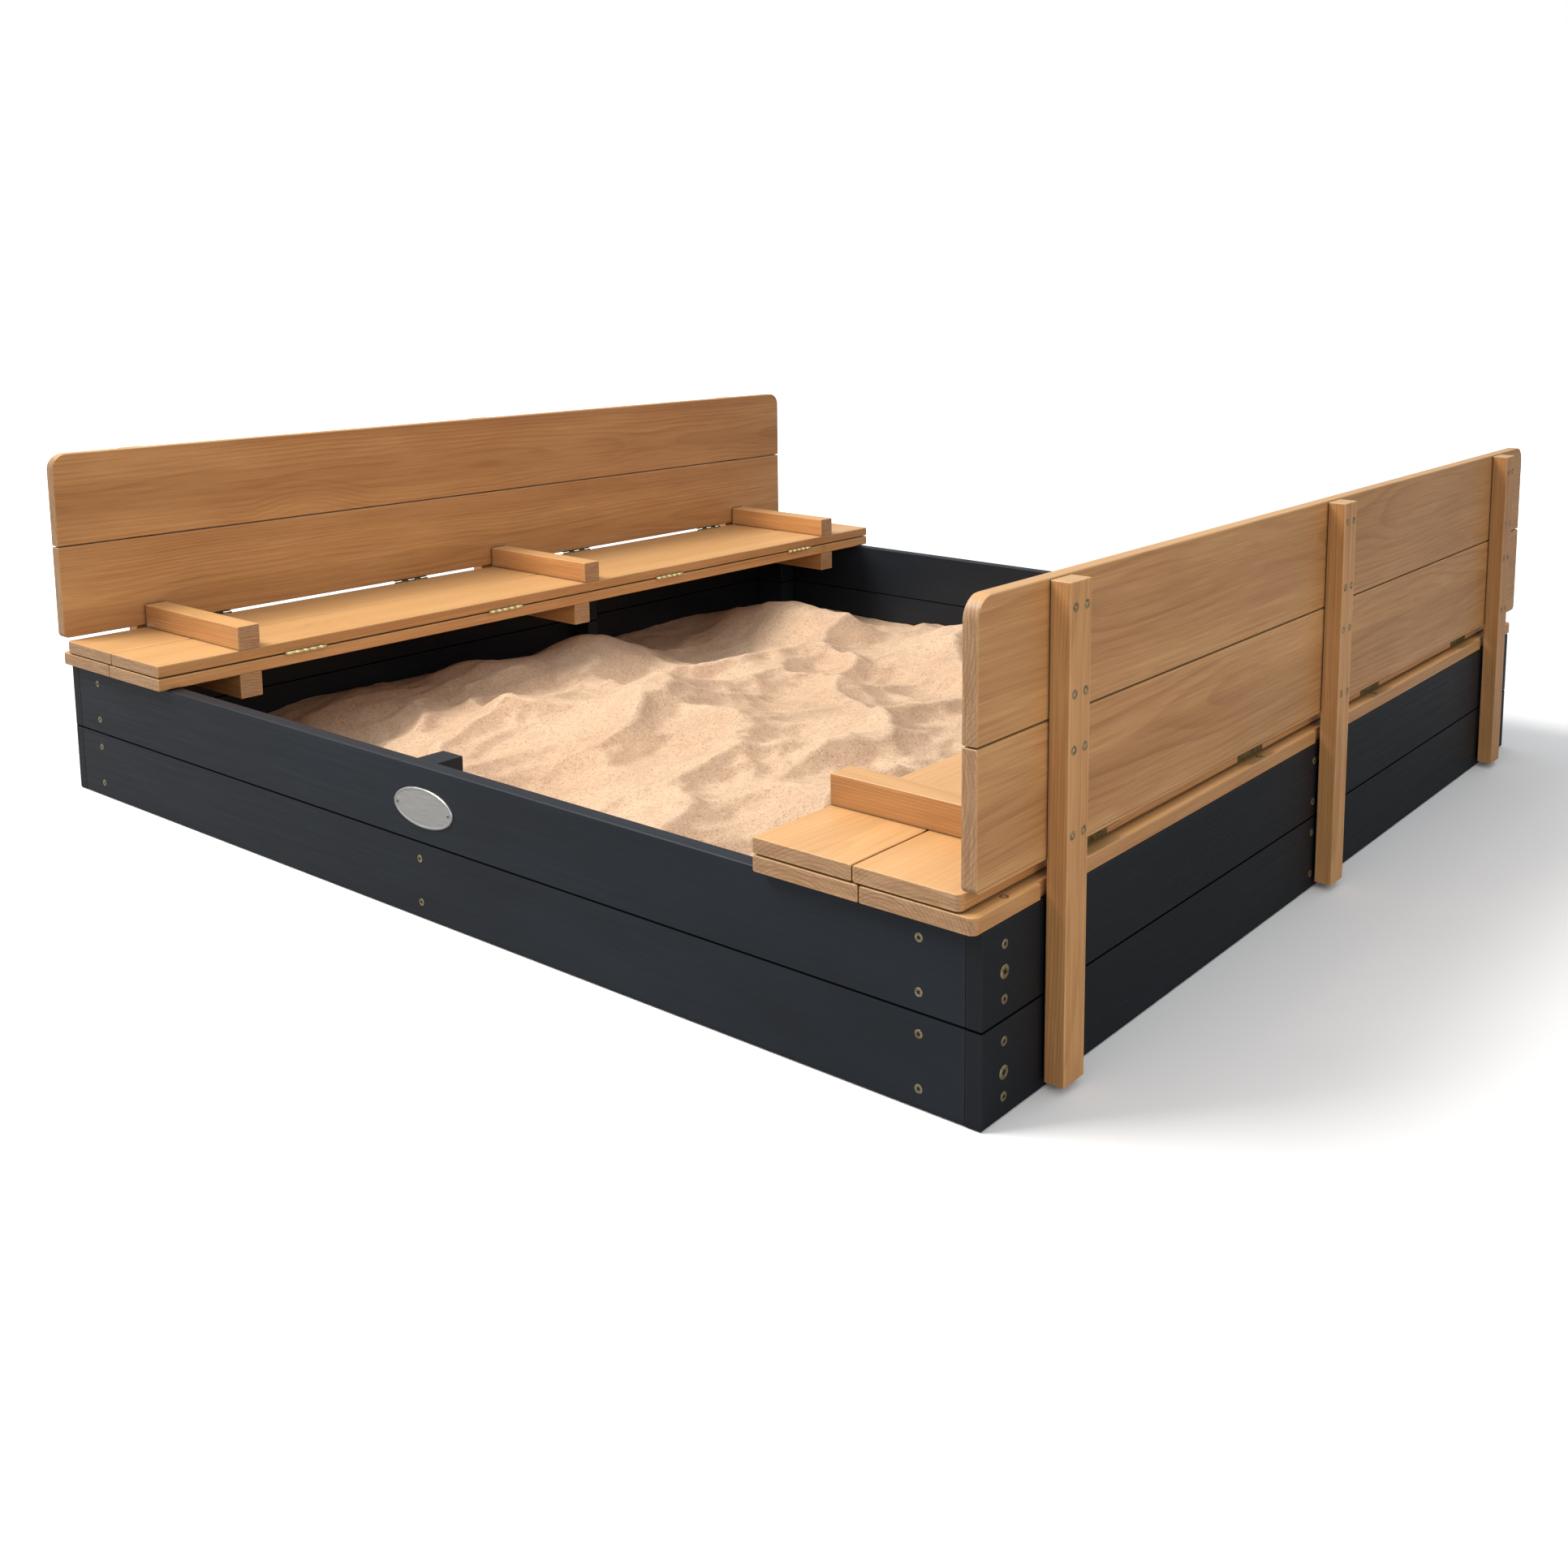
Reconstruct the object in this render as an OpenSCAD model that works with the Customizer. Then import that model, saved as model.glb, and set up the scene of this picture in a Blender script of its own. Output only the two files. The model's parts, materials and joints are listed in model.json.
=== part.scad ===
// Low timber sandbox with two fold-over bench covers.
// Units are millimetres. The origin is on the ground at the box centre,
// X runs across the box from bench to bench, Y from front to back, Z up.

/* [Box] */
// overall width of the box walls across X
box_width = 1736; // [1200:1:1900]
// overall depth of the box walls along Y
box_depth = 1552; // [1100:1:1800]
// height of the box walls
wall_height = 200; // [150:1:260]
// thickness of the wall boards
board_thickness = 20; // [16:0.5:28]
// rounding of the wall boards along their length
board_rounding = 2; // [0.5:0.1:4]
// front and back boards stop this far under the side boards
end_board_drop = 0.5; // [0:0.1:2]
// width of a corner post along X
corner_post_width = 72; // [40:1:90]
// thickness of every post
post_thickness = 40; // [25:1:50]
// rounding of the posts along their height
post_rounding = 1.5; // [0.5:0.1:4]
// distance from the wall top to the post tops
post_drop = 2; // [0:0.5:10]
// X position of the middle posts at the front and back
end_post_x = -8; // [-40:1:40]
// X position of the screws at the front and back middle posts
end_screw_x = 0; // [-20:1:20]
// Y positions of the middle posts at the left and right sides
side_post_y = [194, -27];
// widths of the middle posts at the left and right sides
side_post_width = [24, 40];

/* [Sand] */
// level of the sand at the walls
sand_level = 42; // [20:1:100]
// top of the highest sand mound
sand_crest = 145; // [100:1:156]
// mounds of sand as X, Y, height, half length along X and along Y
mounds = [
    [-637, 35, 76, 119, 118], [-559, 512, 73, 195, 94], [-667, -172, 57, 154, 97],
    [-698, -378, 42, 184, 113], [-121, -83, 57, 329, 246], [-195, 585, 49, 134, 182],
    [150, -420, 60, 300, 230], [350, 150, 50, 260, 260], [-330, -332, 43, 219, 193],
    [480, -200, 30, 250, 300], [-394, 204, 27, 141, 117]
];
// size of the facets of the sand
sand_cell = 60; // [40:1:120]
// thickness of the ground sheet
sheet_thickness = 1.5; // [0.5:0.1:3]

/* [Benches] */
// thickness of the fixed and backrest planks
plank_thickness = 18; // [14:0.5:24]
// thickness of the folding seat planks
seat_plank_thickness = 17.5; // [14:0.5:24]
// rounding of the planks along their length
plank_rounding = 2.2; // [0.5:0.1:4]
// width of the fixed bench panel
fixed_width = 283; // [220:1:320]
// Y positions of the screws that hold the fixed panel to the box
fixed_screw_y = [-727, -173, 198, 727];
// gap between two planks of one panel
plank_seam = 1.6; // [0.5:0.1:3]
// height between the fixed panel and the seat panel
layer_gap = 2; // [2:0.1:4]
// distance from the outer edge of the fixed panel to that of the seat
seat_inset = 16.1; // [12:0.1:24]
// bench planks overhang the box by this much at the front and back
bench_overhang = 13; // [0:1:30]
// rounding of the seat and fixed panel corners seen from above
panel_corner = 9; // [2:0.5:20]

/* [Backrest] */
// height of the backrest panel
back_height = 283; // [220:1:300]
// gap between the seat top and the backrest
back_gap = 3.5; // [2.5:0.1:6]
// distance from the seat edge to the inner face of the backrest
back_offset = 1.1; // [0.5:0.1:3]
// radius of the upper backrest corners
back_corner = 24; // [5:1:40]
// Y positions of the long battens behind the backrest
batten_y = [-655, -2, 654];
// width of a long batten
batten_width = 37.5; // [25:0.5:60]
// thickness of a long batten
batten_thickness = 24.5; // [15:0.5:35]
// height of the batten feet above the ground
batten_foot = 8; // [2:1:40]
// relief cut in the fixed panel behind each long batten
relief_depth = 4; // [0:0.5:8]

/* [Cleats] */
// Y positions of the cleats on the seat
cleat_y = [-651, 6, 655];
// width of a cleat
cleat_width = 34; // [20:1:50]
// height of a cleat
cleat_height = 36; // [20:1:45]
// Y positions of the battens under the fixed panel
under_batten_y = [-651, -19, 655];
// length of the battens under the fixed panel
under_batten_length = 215; // [150:1:240]

/* [Hinges] */
// Y positions of the hinges
hinge_y = [-562, -188, 195, 565];
// length of a hinge
hinge_length = 66; // [40:1:90]
// thickness of a hinge leaf
leaf_thickness = 0.9; // [0.6:0.1:1.5]
// width of a hinge leaf
leaf_width = 17; // [10:1:25]
// outer radius of the knuckles of the seat hinges
knuckle_radius = 2.5; // [2:0.1:4]
// outer radius of the knuckles of the backrest hinges
back_knuckle_radius = 2.2; // [1.8:0.1:3]
// radius of the hinge pins
pin_radius = 1.2; // [0.8:0.05:2]
// running clearance between pin and knuckle
pin_clearance = 0.03; // [0.01:0.01:0.1]
// gap between neighbouring knuckles
knuckle_gap = 0.4; // [0.1:0.1:1]

/* [Fasteners] */
// head radius of the wood screws
screw_head_radius = 4.9; // [3:0.1:7]
// shank radius of the wood screws
screw_shank_radius = 2; // [1.5:0.1:3]
// length of the wood screws
screw_length = 34; // [20:1:60]
// head radius of the corner bolts
bolt_head_radius = 7.3; // [5:0.1:9]
// length of the corner bolts
bolt_length = 52; // [30:1:70]
// heads stand proud of the surface by this much
head_proud = 0.4; // [0.1:0.1:1]

/* [Name plate] */
// length of the oval plate
plate_length = 116; // [60:1:160]
// height of the oval plate
plate_height = 51; // [30:1:80]
// X and Z position of the plate centre
plate_pos = [12, 146];

/* [Hidden] */
$fn = 48;
hw = box_width / 2;
hd = box_depth / 2;
board_height = wall_height / 2;
inner_x = hw - board_thickness;
inner_y = hd - board_thickness;
side_rows = [21, 78, 121, 177];
corner_screw_y = hd - 37;
corner_screw_x = hw - 76;

// bench levels, u is the distance from the box centre towards a bench
fixed_in = hw - fixed_width;
fixed_top = wall_height + plank_thickness;
seat_bottom = fixed_top + layer_gap;
seat_top = seat_bottom + seat_plank_thickness;
seat_out = hw - seat_inset;
back_in = seat_out + back_offset;
back_out = back_in + plank_thickness;
back_bottom = seat_top + back_gap;
back_top = back_bottom + back_height;
bench_half = hd + bench_overhang;
fixed_plank = (fixed_width - plank_seam) / 2;
seat_width = seat_out - fixed_in;
seat_plank = (seat_width - plank_seam) / 2;
back_plank = (back_height - plank_seam) / 2;

// hinge axes in the u-z section
seat_axis = [fixed_in - knuckle_radius, fixed_top + layer_gap / 2];
back_axis = [seat_out - 0.4, seat_top - 0.5];
knuckle_count = 5;
knuckle_pitch = hinge_length / knuckle_count;
leaf_play = 0.1;
batten_rows = [28, 114, 170, 256];

// ---------- shared shapes ----------

// rectangle from a to b with exact round corners
module round_rect(a, b, r) {
    translate([a[0] + r, a[1]]) square([b[0] - a[0] - 2 * r, b[1] - a[1]]);
    translate([a[0], a[1] + r]) square([b[0] - a[0], b[1] - a[1] - 2 * r]);
    for (x = [a[0] + r, b[0] - r], y = [a[1] + r, b[1] - r])
        translate([x, y]) circle(r);
}

// rectangle from a to b, rounded only at the end with the larger second value
module top_round_rect(a, b, r) {
    translate([a[0] + r, a[1]]) square([b[0] - a[0] - 2 * r, b[1] - a[1]]);
    translate([a[0], a[1]]) square([b[0] - a[0], b[1] - a[1] - r]);
    for (x = [a[0] + r, b[0] - r]) translate([x, b[1] - r]) circle(r);
}

// bar along Y whose section runs from a to b in X and Z
module bar_y(a, b, y0, y1, r) {
    translate([0, y1, 0]) rotate([90, 0, 0]) linear_extrude(y1 - y0) round_rect(a, b, r);
}

// bar along X whose section runs from a to b in Y and Z
module bar_x(a, b, x0, x1, r) {
    translate([x0, 0, 0]) rotate([90, 0, 90]) linear_extrude(x1 - x0) round_rect(a, b, r);
}

// bar along Z whose section runs from a to b in X and Y
module bar_z(a, b, z0, z1, r) {
    translate([0, 0, z0]) linear_extrude(z1 - z0) round_rect(a, b, r);
}

// countersunk fastener pointing down -Z, head top at z = proud
module fastener(head_r, shank_r, length, proud) {
    rotate_extrude() polygon([
        [0, proud], [head_r * 0.8, proud], [head_r, proud * 0.25], [head_r, -0.6],
        [shank_r, -0.6 - (head_r - shank_r)], [shank_r, 3 - length], [0, -length]
    ]);
}

module wood_screw(length = screw_length) {
    fastener(screw_head_radius, screw_shank_radius, length, head_proud);
}

module small_screw() {
    fastener(3, 1.3, 14, 0);
}

// wood screws at the wall of side s, pointing inwards
module side_fastener(s, y, z) {
    translate([s * hw, y, z]) rotate([0, s * 90, 0]) children();
}

module end_fastener(s, x, z) {
    translate([x, s * hd, z]) rotate([-s * 90, 0, 0]) children();
}

// draws a bench part for the right side (+1) or its mirror image (-1)
module bench_side(s) {
    if (s > 0) children();
    else mirror([1, 0, 0]) children();
}

// ---------- box ----------

module end_board(s, level) {
    z0 = level * board_height;
    z1 = (level + 1) * board_height - (level == 1 ? end_board_drop : 0);
    y0 = s > 0 ? inner_y : -hd;
    bar_x([y0, z0], [y0 + board_thickness, z1], -inner_x, inner_x, board_rounding);
}

module side_board(s, level) {
    z0 = level * board_height;
    x0 = s > 0 ? inner_x : -hw;
    bar_y([x0, z0], [x0 + board_thickness, z0 + board_height], -hd, hd, board_rounding);
}

module front_board_lower() { color("#2c3338") end_board(-1, 0); }
module front_board_upper() { color("#2e353a") end_board(-1, 1); }
module back_board_lower() { color("#2c3338") end_board(1, 0); }
module back_board_upper() { color("#2e353a") end_board(1, 1); }
module left_board_lower() { color("#272b30") side_board(-1, 0); }
module left_board_upper() { color("#292d32") side_board(-1, 1); }
module right_board_lower() { color("#272b30") side_board(1, 0); }
module right_board_upper() { color("#292d32") side_board(1, 1); }

// value of a left and right pair for one side, s is -1 or 1
function side_value(pair, s) = s < 0 ? pair[0] : pair[1];

// range of a post that reaches inwards from the wall of side s
function at_wall(s, inner, reach) = s > 0 ? [inner - reach, inner] : [-inner, reach - inner];
function around(middle, width) = [middle - width / 2, middle + width / 2];

// footprints of the posts, each as a range of X and a range of Y
corner_prints = [for (sx = [-1, 1], sy = [-1, 1])
    [at_wall(sx, inner_x, corner_post_width), at_wall(sy, inner_y, post_thickness)]];
end_prints = [for (s = [-1, 1])
    [around(end_post_x, post_thickness), at_wall(s, inner_y, post_thickness)]];
side_prints = [for (s = [-1, 1]) [
    at_wall(s, inner_x, post_thickness),
    around(side_value(side_post_y, s), side_value(side_post_width, s))
]];
post_prints = concat(corner_prints, end_prints, side_prints);

module posts(prints) {
    color("#262b30") for (p = prints)
        bar_z([p[0][0], p[1][0]], [p[0][1], p[1][1]],
            sheet_thickness, wall_height - post_drop, post_rounding);
}

module corner_posts() { posts(corner_prints); }
module middle_posts() { posts(concat(end_prints, side_prints)); }

module frame_screws() {
    color("#9a8a5e") {
        for (s = [-1, 1], z = side_rows) {
            for (x = [-corner_screw_x, corner_screw_x]) end_fastener(s, x, z) wood_screw();
            for (y = [-corner_screw_y, side_value(side_post_y, s), corner_screw_y])
                side_fastener(s, y, z) wood_screw();
            if (s > 0 || z < board_height)
                end_fastener(s, end_screw_x, z) wood_screw();
        }
    }
}

module corner_bolts() {
    color("#a3936a")
        for (s = [-1, 1], y = [-corner_screw_y, corner_screw_y], z = [46, 149])
            side_fastener(s, y, z) fastener(bolt_head_radius, 3, bolt_length, head_proud * 2);
}

// ---------- name plate ----------

module oval(length, height, thickness) {
    linear_extrude(thickness) scale([length / 2, height / 2]) circle(1);
}

module on_plate() {
    translate([plate_pos[0], -hd, plate_pos[1]]) rotate([90, 0, 0]) children();
}

module name_plate() {
    color("#b9babb") on_plate() difference() {
        oval(plate_length, plate_height, 2.2);
        translate([0, 0, 1.4]) oval(plate_length - 8, plate_height - 8, 2);
    }
}

module name_plate_rivets() {
    color("#8d8e90") on_plate()
        for (x = [-plate_length / 2 + 7.5, plate_length / 2 - 7.5]) translate([x, 0, 1.4])
            rotate_extrude() polygon([[0, 0], [2, 0], [2, 0.4], [1.4, 0.8], [0, 0.9]]);
}

// ---------- sand ----------

module ground_sheet() {
    color("#1e1f20") translate([-inner_x, -inner_y, 0])
        cube([2 * inner_x, 2 * inner_y, sheet_thickness]);
}

// height of the sand at one place
function mound(x, y, m) = m[2] * exp(-pow((x - m[0]) / m[3], 2) - pow((y - m[1]) / m[4], 2));
function heaped(x, y, i = 0) = i == len(mounds) ? 0 : mound(x, y, mounds[i]) + heaped(x, y, i + 1);
function sand_height(x, y) = min(sand_crest, sand_level + heaped(x, y));

// list in rising order without repeats
function rising(v) = len(v) == 0 ? [] : concat(
    rising([for (a = v) if (a < v[0]) a]), v[0], rising([for (a = v) if (a > v[0]) a]));

// grid lines along axis 0 or 1: at the walls, at both faces of each post, and evenly between
function grid_marks(axis, inner) = rising(concat([-inner, inner], [for (p = post_prints) each p[axis]]));
function grid_lines(marks) = concat(
    [for (k = [0 : len(marks) - 2])
        let (gap = marks[k + 1] - marks[k], n = max(1, round(gap / sand_cell)))
            for (i = [0 : n - 1]) marks[k] + gap * i / n],
    [marks[len(marks) - 1]]);

// true where no post stands
function is_within(value, range) = value > range[0] && value < range[1];
function is_open(x, y) =
    len([for (p = post_prints) if (is_within(x, p[0]) && is_within(y, p[1])) p]) == 0;

// block of sand with its own grid, so that the posts leave clean square notches
module sand() {
    xs = grid_lines(grid_marks(0, inner_x));
    ys = grid_lines(grid_marks(1, inner_y));
    nx = len(xs) - 1;
    ny = len(ys) - 1;
    // one more row of cells on every side stays empty, so cell i, j is filled[i + 1][j + 1]
    filled = [for (i = [-1 : nx]) [for (j = [-1 : ny])
        i >= 0 && j >= 0 && i < nx && j < ny
            && is_open((xs[i] + xs[i + 1]) / 2, (ys[j] + ys[j + 1]) / 2)]];
    low = (nx + 1) * (ny + 1);
    function at(i, j) = i * (ny + 1) + j;
    function side(a, b) = [a, b, b + low, a + low];
    points = concat(
        [for (x = xs, y = ys) [x, y, sand_height(x, y)]],
        [for (x = xs, y = ys) [x, y, sheet_thickness]]);
    faces = [for (i = [0 : nx - 1], j = [0 : ny - 1]) if (filled[i + 1][j + 1]) each concat(
        [[at(i, j), at(i, j + 1), at(i + 1, j + 1)]],
        [[at(i, j), at(i + 1, j + 1), at(i + 1, j)]],
        [[low + at(i, j), low + at(i + 1, j), low + at(i + 1, j + 1), low + at(i, j + 1)]],
        filled[i + 1][j] ? [] : [side(at(i, j), at(i + 1, j))],
        filled[i + 2][j + 1] ? [] : [side(at(i + 1, j), at(i + 1, j + 1))],
        filled[i + 1][j + 2] ? [] : [side(at(i + 1, j + 1), at(i, j + 1))],
        filled[i][j + 1] ? [] : [side(at(i, j + 1), at(i, j))]
    )];
    color("#cdb08e") polyhedron(points, faces);
}

// ---------- bench panels, drawn for the right side ----------

// flat panel plank with round ends seen from above where it meets edge "outer"
module flat_plank(u0, u1, z0, z1, round_out) {
    intersection() {
        bar_y([u0, z0], [u1, z1], -bench_half, bench_half, plank_rounding);
        translate([0, 0, z0 - 1]) linear_extrude(z1 - z0 + 2)
            if (round_out) rotate(-90)
                top_round_rect([-bench_half, u0 - 1], [bench_half, u1], panel_corner);
            else translate([u0 - 1, -bench_half]) square([u1 - u0 + 2, 2 * bench_half]);
    }
}

module fixed_outer_plank(s) {
    color("#c08a4c") bench_side(s) difference() {
        flat_plank(hw - fixed_plank, hw, wall_height, fixed_top, true);
        for (y = batten_y)
            translate([hw - relief_depth, y - batten_width / 2 - 4, wall_height - 1])
                cube([relief_depth + 1, batten_width + 8, plank_thickness + 2]);
    }
}

module fixed_inner_plank(s) {
    color("#c38e50") bench_side(s)
        flat_plank(fixed_in, fixed_in + fixed_plank, wall_height, fixed_top, false);
}

module fixed_battens(s) {
    half = cleat_width / 2;
    color("#b98346") bench_side(s) for (y = under_batten_y)
        bar_x([y - half, wall_height - cleat_height - 1], [y + half, wall_height],
            fixed_in, fixed_in + under_batten_length, 1.5);
}

module fixed_screws(s) {
    color("#a3936a") bench_side(s) {
        for (y = fixed_screw_y)
            translate([hw - board_thickness / 2, y, fixed_top]) wood_screw();
        for (y = under_batten_y, u = [30, 110, 172, 203])
            translate([fixed_in + u, y, fixed_top]) wood_screw();
        for (y = hinge_y, dy = [-23, 0, 23])
            translate([fixed_in + 9, y + dy, seat_axis[1] - leaf_play]) small_screw();
    }
}

module seat_outer_plank(s) {
    color("#c9945a") bench_side(s) difference() {
        flat_plank(seat_out - seat_plank, seat_out, seat_bottom, seat_top, true);
        for (y = hinge_y)
            translate([back_axis[0] - back_knuckle_radius - 0.6, y - hinge_length / 2 - 2,
                back_axis[1] - back_knuckle_radius - 0.6]) cube([20, hinge_length + 4, 20]);
    }
}

module seat_inner_plank(s) {
    color("#c69156") bench_side(s)
        flat_plank(fixed_in, fixed_in + seat_plank, seat_bottom, seat_top, false);
}

module seat_cleats(s) {
    half = cleat_width / 2;
    color("#b98244") bench_side(s) for (y = cleat_y)
        bar_x([y - half, seat_top], [y + half, seat_top + cleat_height],
            fixed_in, seat_out, 1.5);
}

module seat_screws(s) {
    color("#a3936a") bench_side(s) {
        for (y = cleat_y, u = [28, 105, 160, 240])
            translate([fixed_in + u, y, seat_bottom]) rotate([180, 0, 0]) wood_screw();
        for (y = hinge_y, dy = [-23, 0, 23]) {
            translate([fixed_in + 9, y + dy, seat_axis[1] + leaf_play])
                rotate([180, 0, 0]) small_screw();
            translate([seat_out + leaf_thickness, y + dy, back_axis[1] - 9])
                rotate([0, 90, 0]) small_screw();
        }
    }
}

// upright backrest plank between two heights
module back_plank_solid(z0, z1, round_top) {
    intersection() {
        bar_y([back_in, z0], [back_out, z1], -bench_half - 2, bench_half + 2, plank_rounding);
        translate([back_in - 1, 0, 0]) rotate([90, 0, 90])
            linear_extrude(plank_thickness + 2)
                if (round_top)
                    top_round_rect([-bench_half - 2, z0 - 1], [bench_half + 2, z1], back_corner);
                else mirror([0, 1])
                    top_round_rect([-bench_half - 2, -z1 - 1], [bench_half + 2, -z0], 8);
    }
}

module back_lower_plank(s) {
    color("#c48f51") bench_side(s)
        back_plank_solid(back_bottom, back_bottom + back_plank, false);
}

module back_upper_plank(s) {
    color("#c28c4e") bench_side(s)
        back_plank_solid(back_top - back_plank, back_top, true);
}

module back_battens(s) {
    half = batten_width / 2;
    color("#bd874a") bench_side(s) for (y = batten_y)
        bar_z([back_out, y - half], [back_out + batten_thickness, y + half],
            batten_foot, back_top - 2, 1.5);
}

module back_screws(s) {
    color("#a3936a") bench_side(s) {
        for (y = batten_y, dy = [-10, 10], z = batten_rows)
            translate([back_out + batten_thickness, y + dy, back_bottom + z])
                rotate([0, 90, 0]) wood_screw();
        for (y = hinge_y, dy = [-23, 0, 23])
            translate([(back_in + back_out) / 2, y + dy, back_bottom - leaf_thickness])
                rotate([180, 0, 0]) small_screw();
    }
}

// ---------- hinges, drawn for the right side ----------

// knuckles with index i where i % 2 == turn, on the axis at [u, z]
module knuckles(axis, radius, bore, turn) {
    for (y = hinge_y, i = [turn : 2 : knuckle_count - 1])
        translate([axis[0], y - hinge_length / 2 + (i + 1) * knuckle_pitch - knuckle_gap / 2,
            axis[1]]) rotate([90, 0, 0]) difference() {
                cylinder(h = knuckle_pitch - knuckle_gap, r = radius);
                translate([0, 0, -1]) cylinder(h = knuckle_pitch + 2, r = bore);
            }
}

// plate piece of every knuckle with index i where i % 2 == turn, in the u-z section
module knuckle_webs(a, b, turn) {
    for (y = hinge_y, i = [turn : 2 : knuckle_count - 1])
        translate([a[0], y - hinge_length / 2 + i * knuckle_pitch + knuckle_gap / 2, a[1]])
            cube([b[0] - a[0], knuckle_pitch - knuckle_gap, b[1] - a[1]]);
}

// plate along the whole hinge, in the u-z section
module leaf_plates(a, b) {
    for (y = hinge_y) translate([a[0], y - hinge_length / 2, a[1]])
        cube([b[0] - a[0], hinge_length, b[1] - a[1]]);
}

// removes the pin channel from leaf webs
module pin_channel(axis, bore) {
    for (y = hinge_y) translate([axis[0], y + hinge_length / 2 + 2, axis[1]])
        rotate([90, 0, 0]) cylinder(h = hinge_length + 4, r = bore);
}

module hinge_pins(axis, head) {
    for (y = hinge_y) translate([axis[0], y, axis[1]]) rotate([90, 0, 0])
        translate([0, 0, -hinge_length / 2]) rotate_extrude() polygon([
            [0, -0.8], [head, -0.8], [head, -0.1], [pin_radius, -0.1],
            [pin_radius, hinge_length + 0.1], [head, hinge_length + 0.1],
            [head, hinge_length + 0.8], [0, hinge_length + 0.8]
        ]);
}

module seat_hinge_lower_leaves(s) {
    z1 = seat_axis[1] - leaf_play;
    z0 = z1 - leaf_thickness;
    color("#b39a5a") bench_side(s) difference() {
        union() {
            knuckles(seat_axis, knuckle_radius, pin_radius, 0);
            knuckle_webs([seat_axis[0], z0], [fixed_in + 1, z1], 0);
            leaf_plates([fixed_in + 0.4, z0], [fixed_in + leaf_width, z1]);
        }
        pin_channel(seat_axis, pin_radius);
    }
}

module seat_hinge_upper_leaves(s) {
    z0 = seat_axis[1] + leaf_play;
    z1 = z0 + leaf_thickness;
    bore = pin_radius + pin_clearance;
    color("#b39a5a") bench_side(s) difference() {
        union() {
            knuckles(seat_axis, knuckle_radius, bore, 1);
            knuckle_webs([seat_axis[0], z0], [fixed_in + 1, z1], 1);
            leaf_plates([fixed_in + 0.4, z0], [fixed_in + leaf_width, z1]);
        }
        pin_channel(seat_axis, bore);
    }
}

module back_hinge_lower_leaves(s) {
    u0 = seat_out;
    u1 = seat_out + leaf_thickness;
    color("#b39a5a") bench_side(s) difference() {
        union() {
            knuckles(back_axis, back_knuckle_radius, pin_radius, 0);
            knuckle_webs([u0, back_axis[1] - 4], [u1, back_axis[1]], 0);
            leaf_plates([u0, back_axis[1] - 15], [u1, back_axis[1] - 3]);
        }
        pin_channel(back_axis, pin_radius);
    }
}

module back_hinge_upper_leaves(s) {
    bore = pin_radius + pin_clearance;
    z0 = back_bottom - leaf_thickness;
    color("#b39a5a") bench_side(s) difference() {
        union() {
            knuckles(back_axis, back_knuckle_radius, bore, 1);
            knuckle_webs([back_axis[0] + 0.2, back_axis[1]],
                [back_axis[0] + 0.2 + leaf_thickness, back_bottom], 1);
            leaf_plates([back_axis[0] + 0.2, z0], [back_out - 2, back_bottom]);
        }
        pin_channel(back_axis, bore);
    }
}

module seat_hinge_pins(s) { color("#a08a52") bench_side(s) hinge_pins(seat_axis, 2); }
module back_hinge_pins(s) { color("#a08a52") bench_side(s) hinge_pins(back_axis, 1.8); }

// ---------- named sub-parts of the two benches ----------

module left_fixed_outer_plank() { fixed_outer_plank(-1); }
module left_fixed_inner_plank() { fixed_inner_plank(-1); }
module left_fixed_battens() { fixed_battens(-1); }
module left_fixed_screws() { fixed_screws(-1); }
module left_seat_hinge_lower_leaves() { seat_hinge_lower_leaves(-1); }
module left_seat_hinge_pins() { seat_hinge_pins(-1); }
module left_seat_outer_plank() { seat_outer_plank(-1); }
module left_seat_inner_plank() { seat_inner_plank(-1); }
module left_seat_cleats() { seat_cleats(-1); }
module left_seat_screws() { seat_screws(-1); }
module left_seat_hinge_upper_leaves() { seat_hinge_upper_leaves(-1); }
module left_back_hinge_lower_leaves() { back_hinge_lower_leaves(-1); }
module left_back_hinge_pins() { back_hinge_pins(-1); }
module left_back_lower_plank() { back_lower_plank(-1); }
module left_back_upper_plank() { back_upper_plank(-1); }
module left_back_battens() { back_battens(-1); }
module left_back_screws() { back_screws(-1); }
module left_back_hinge_upper_leaves() { back_hinge_upper_leaves(-1); }
module right_fixed_outer_plank() { fixed_outer_plank(1); }
module right_fixed_inner_plank() { fixed_inner_plank(1); }
module right_fixed_battens() { fixed_battens(1); }
module right_fixed_screws() { fixed_screws(1); }
module right_seat_hinge_lower_leaves() { seat_hinge_lower_leaves(1); }
module right_seat_hinge_pins() { seat_hinge_pins(1); }
module right_seat_outer_plank() { seat_outer_plank(1); }
module right_seat_inner_plank() { seat_inner_plank(1); }
module right_seat_cleats() { seat_cleats(1); }
module right_seat_screws() { seat_screws(1); }
module right_seat_hinge_upper_leaves() { seat_hinge_upper_leaves(1); }
module right_back_hinge_lower_leaves() { back_hinge_lower_leaves(1); }
module right_back_hinge_pins() { back_hinge_pins(1); }
module right_back_lower_plank() { back_lower_plank(1); }
module right_back_upper_plank() { back_upper_plank(1); }
module right_back_battens() { back_battens(1); }
module right_back_screws() { back_screws(1); }
module right_back_hinge_upper_leaves() { back_hinge_upper_leaves(1); }

// ---------- what is drawn ----------

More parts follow.
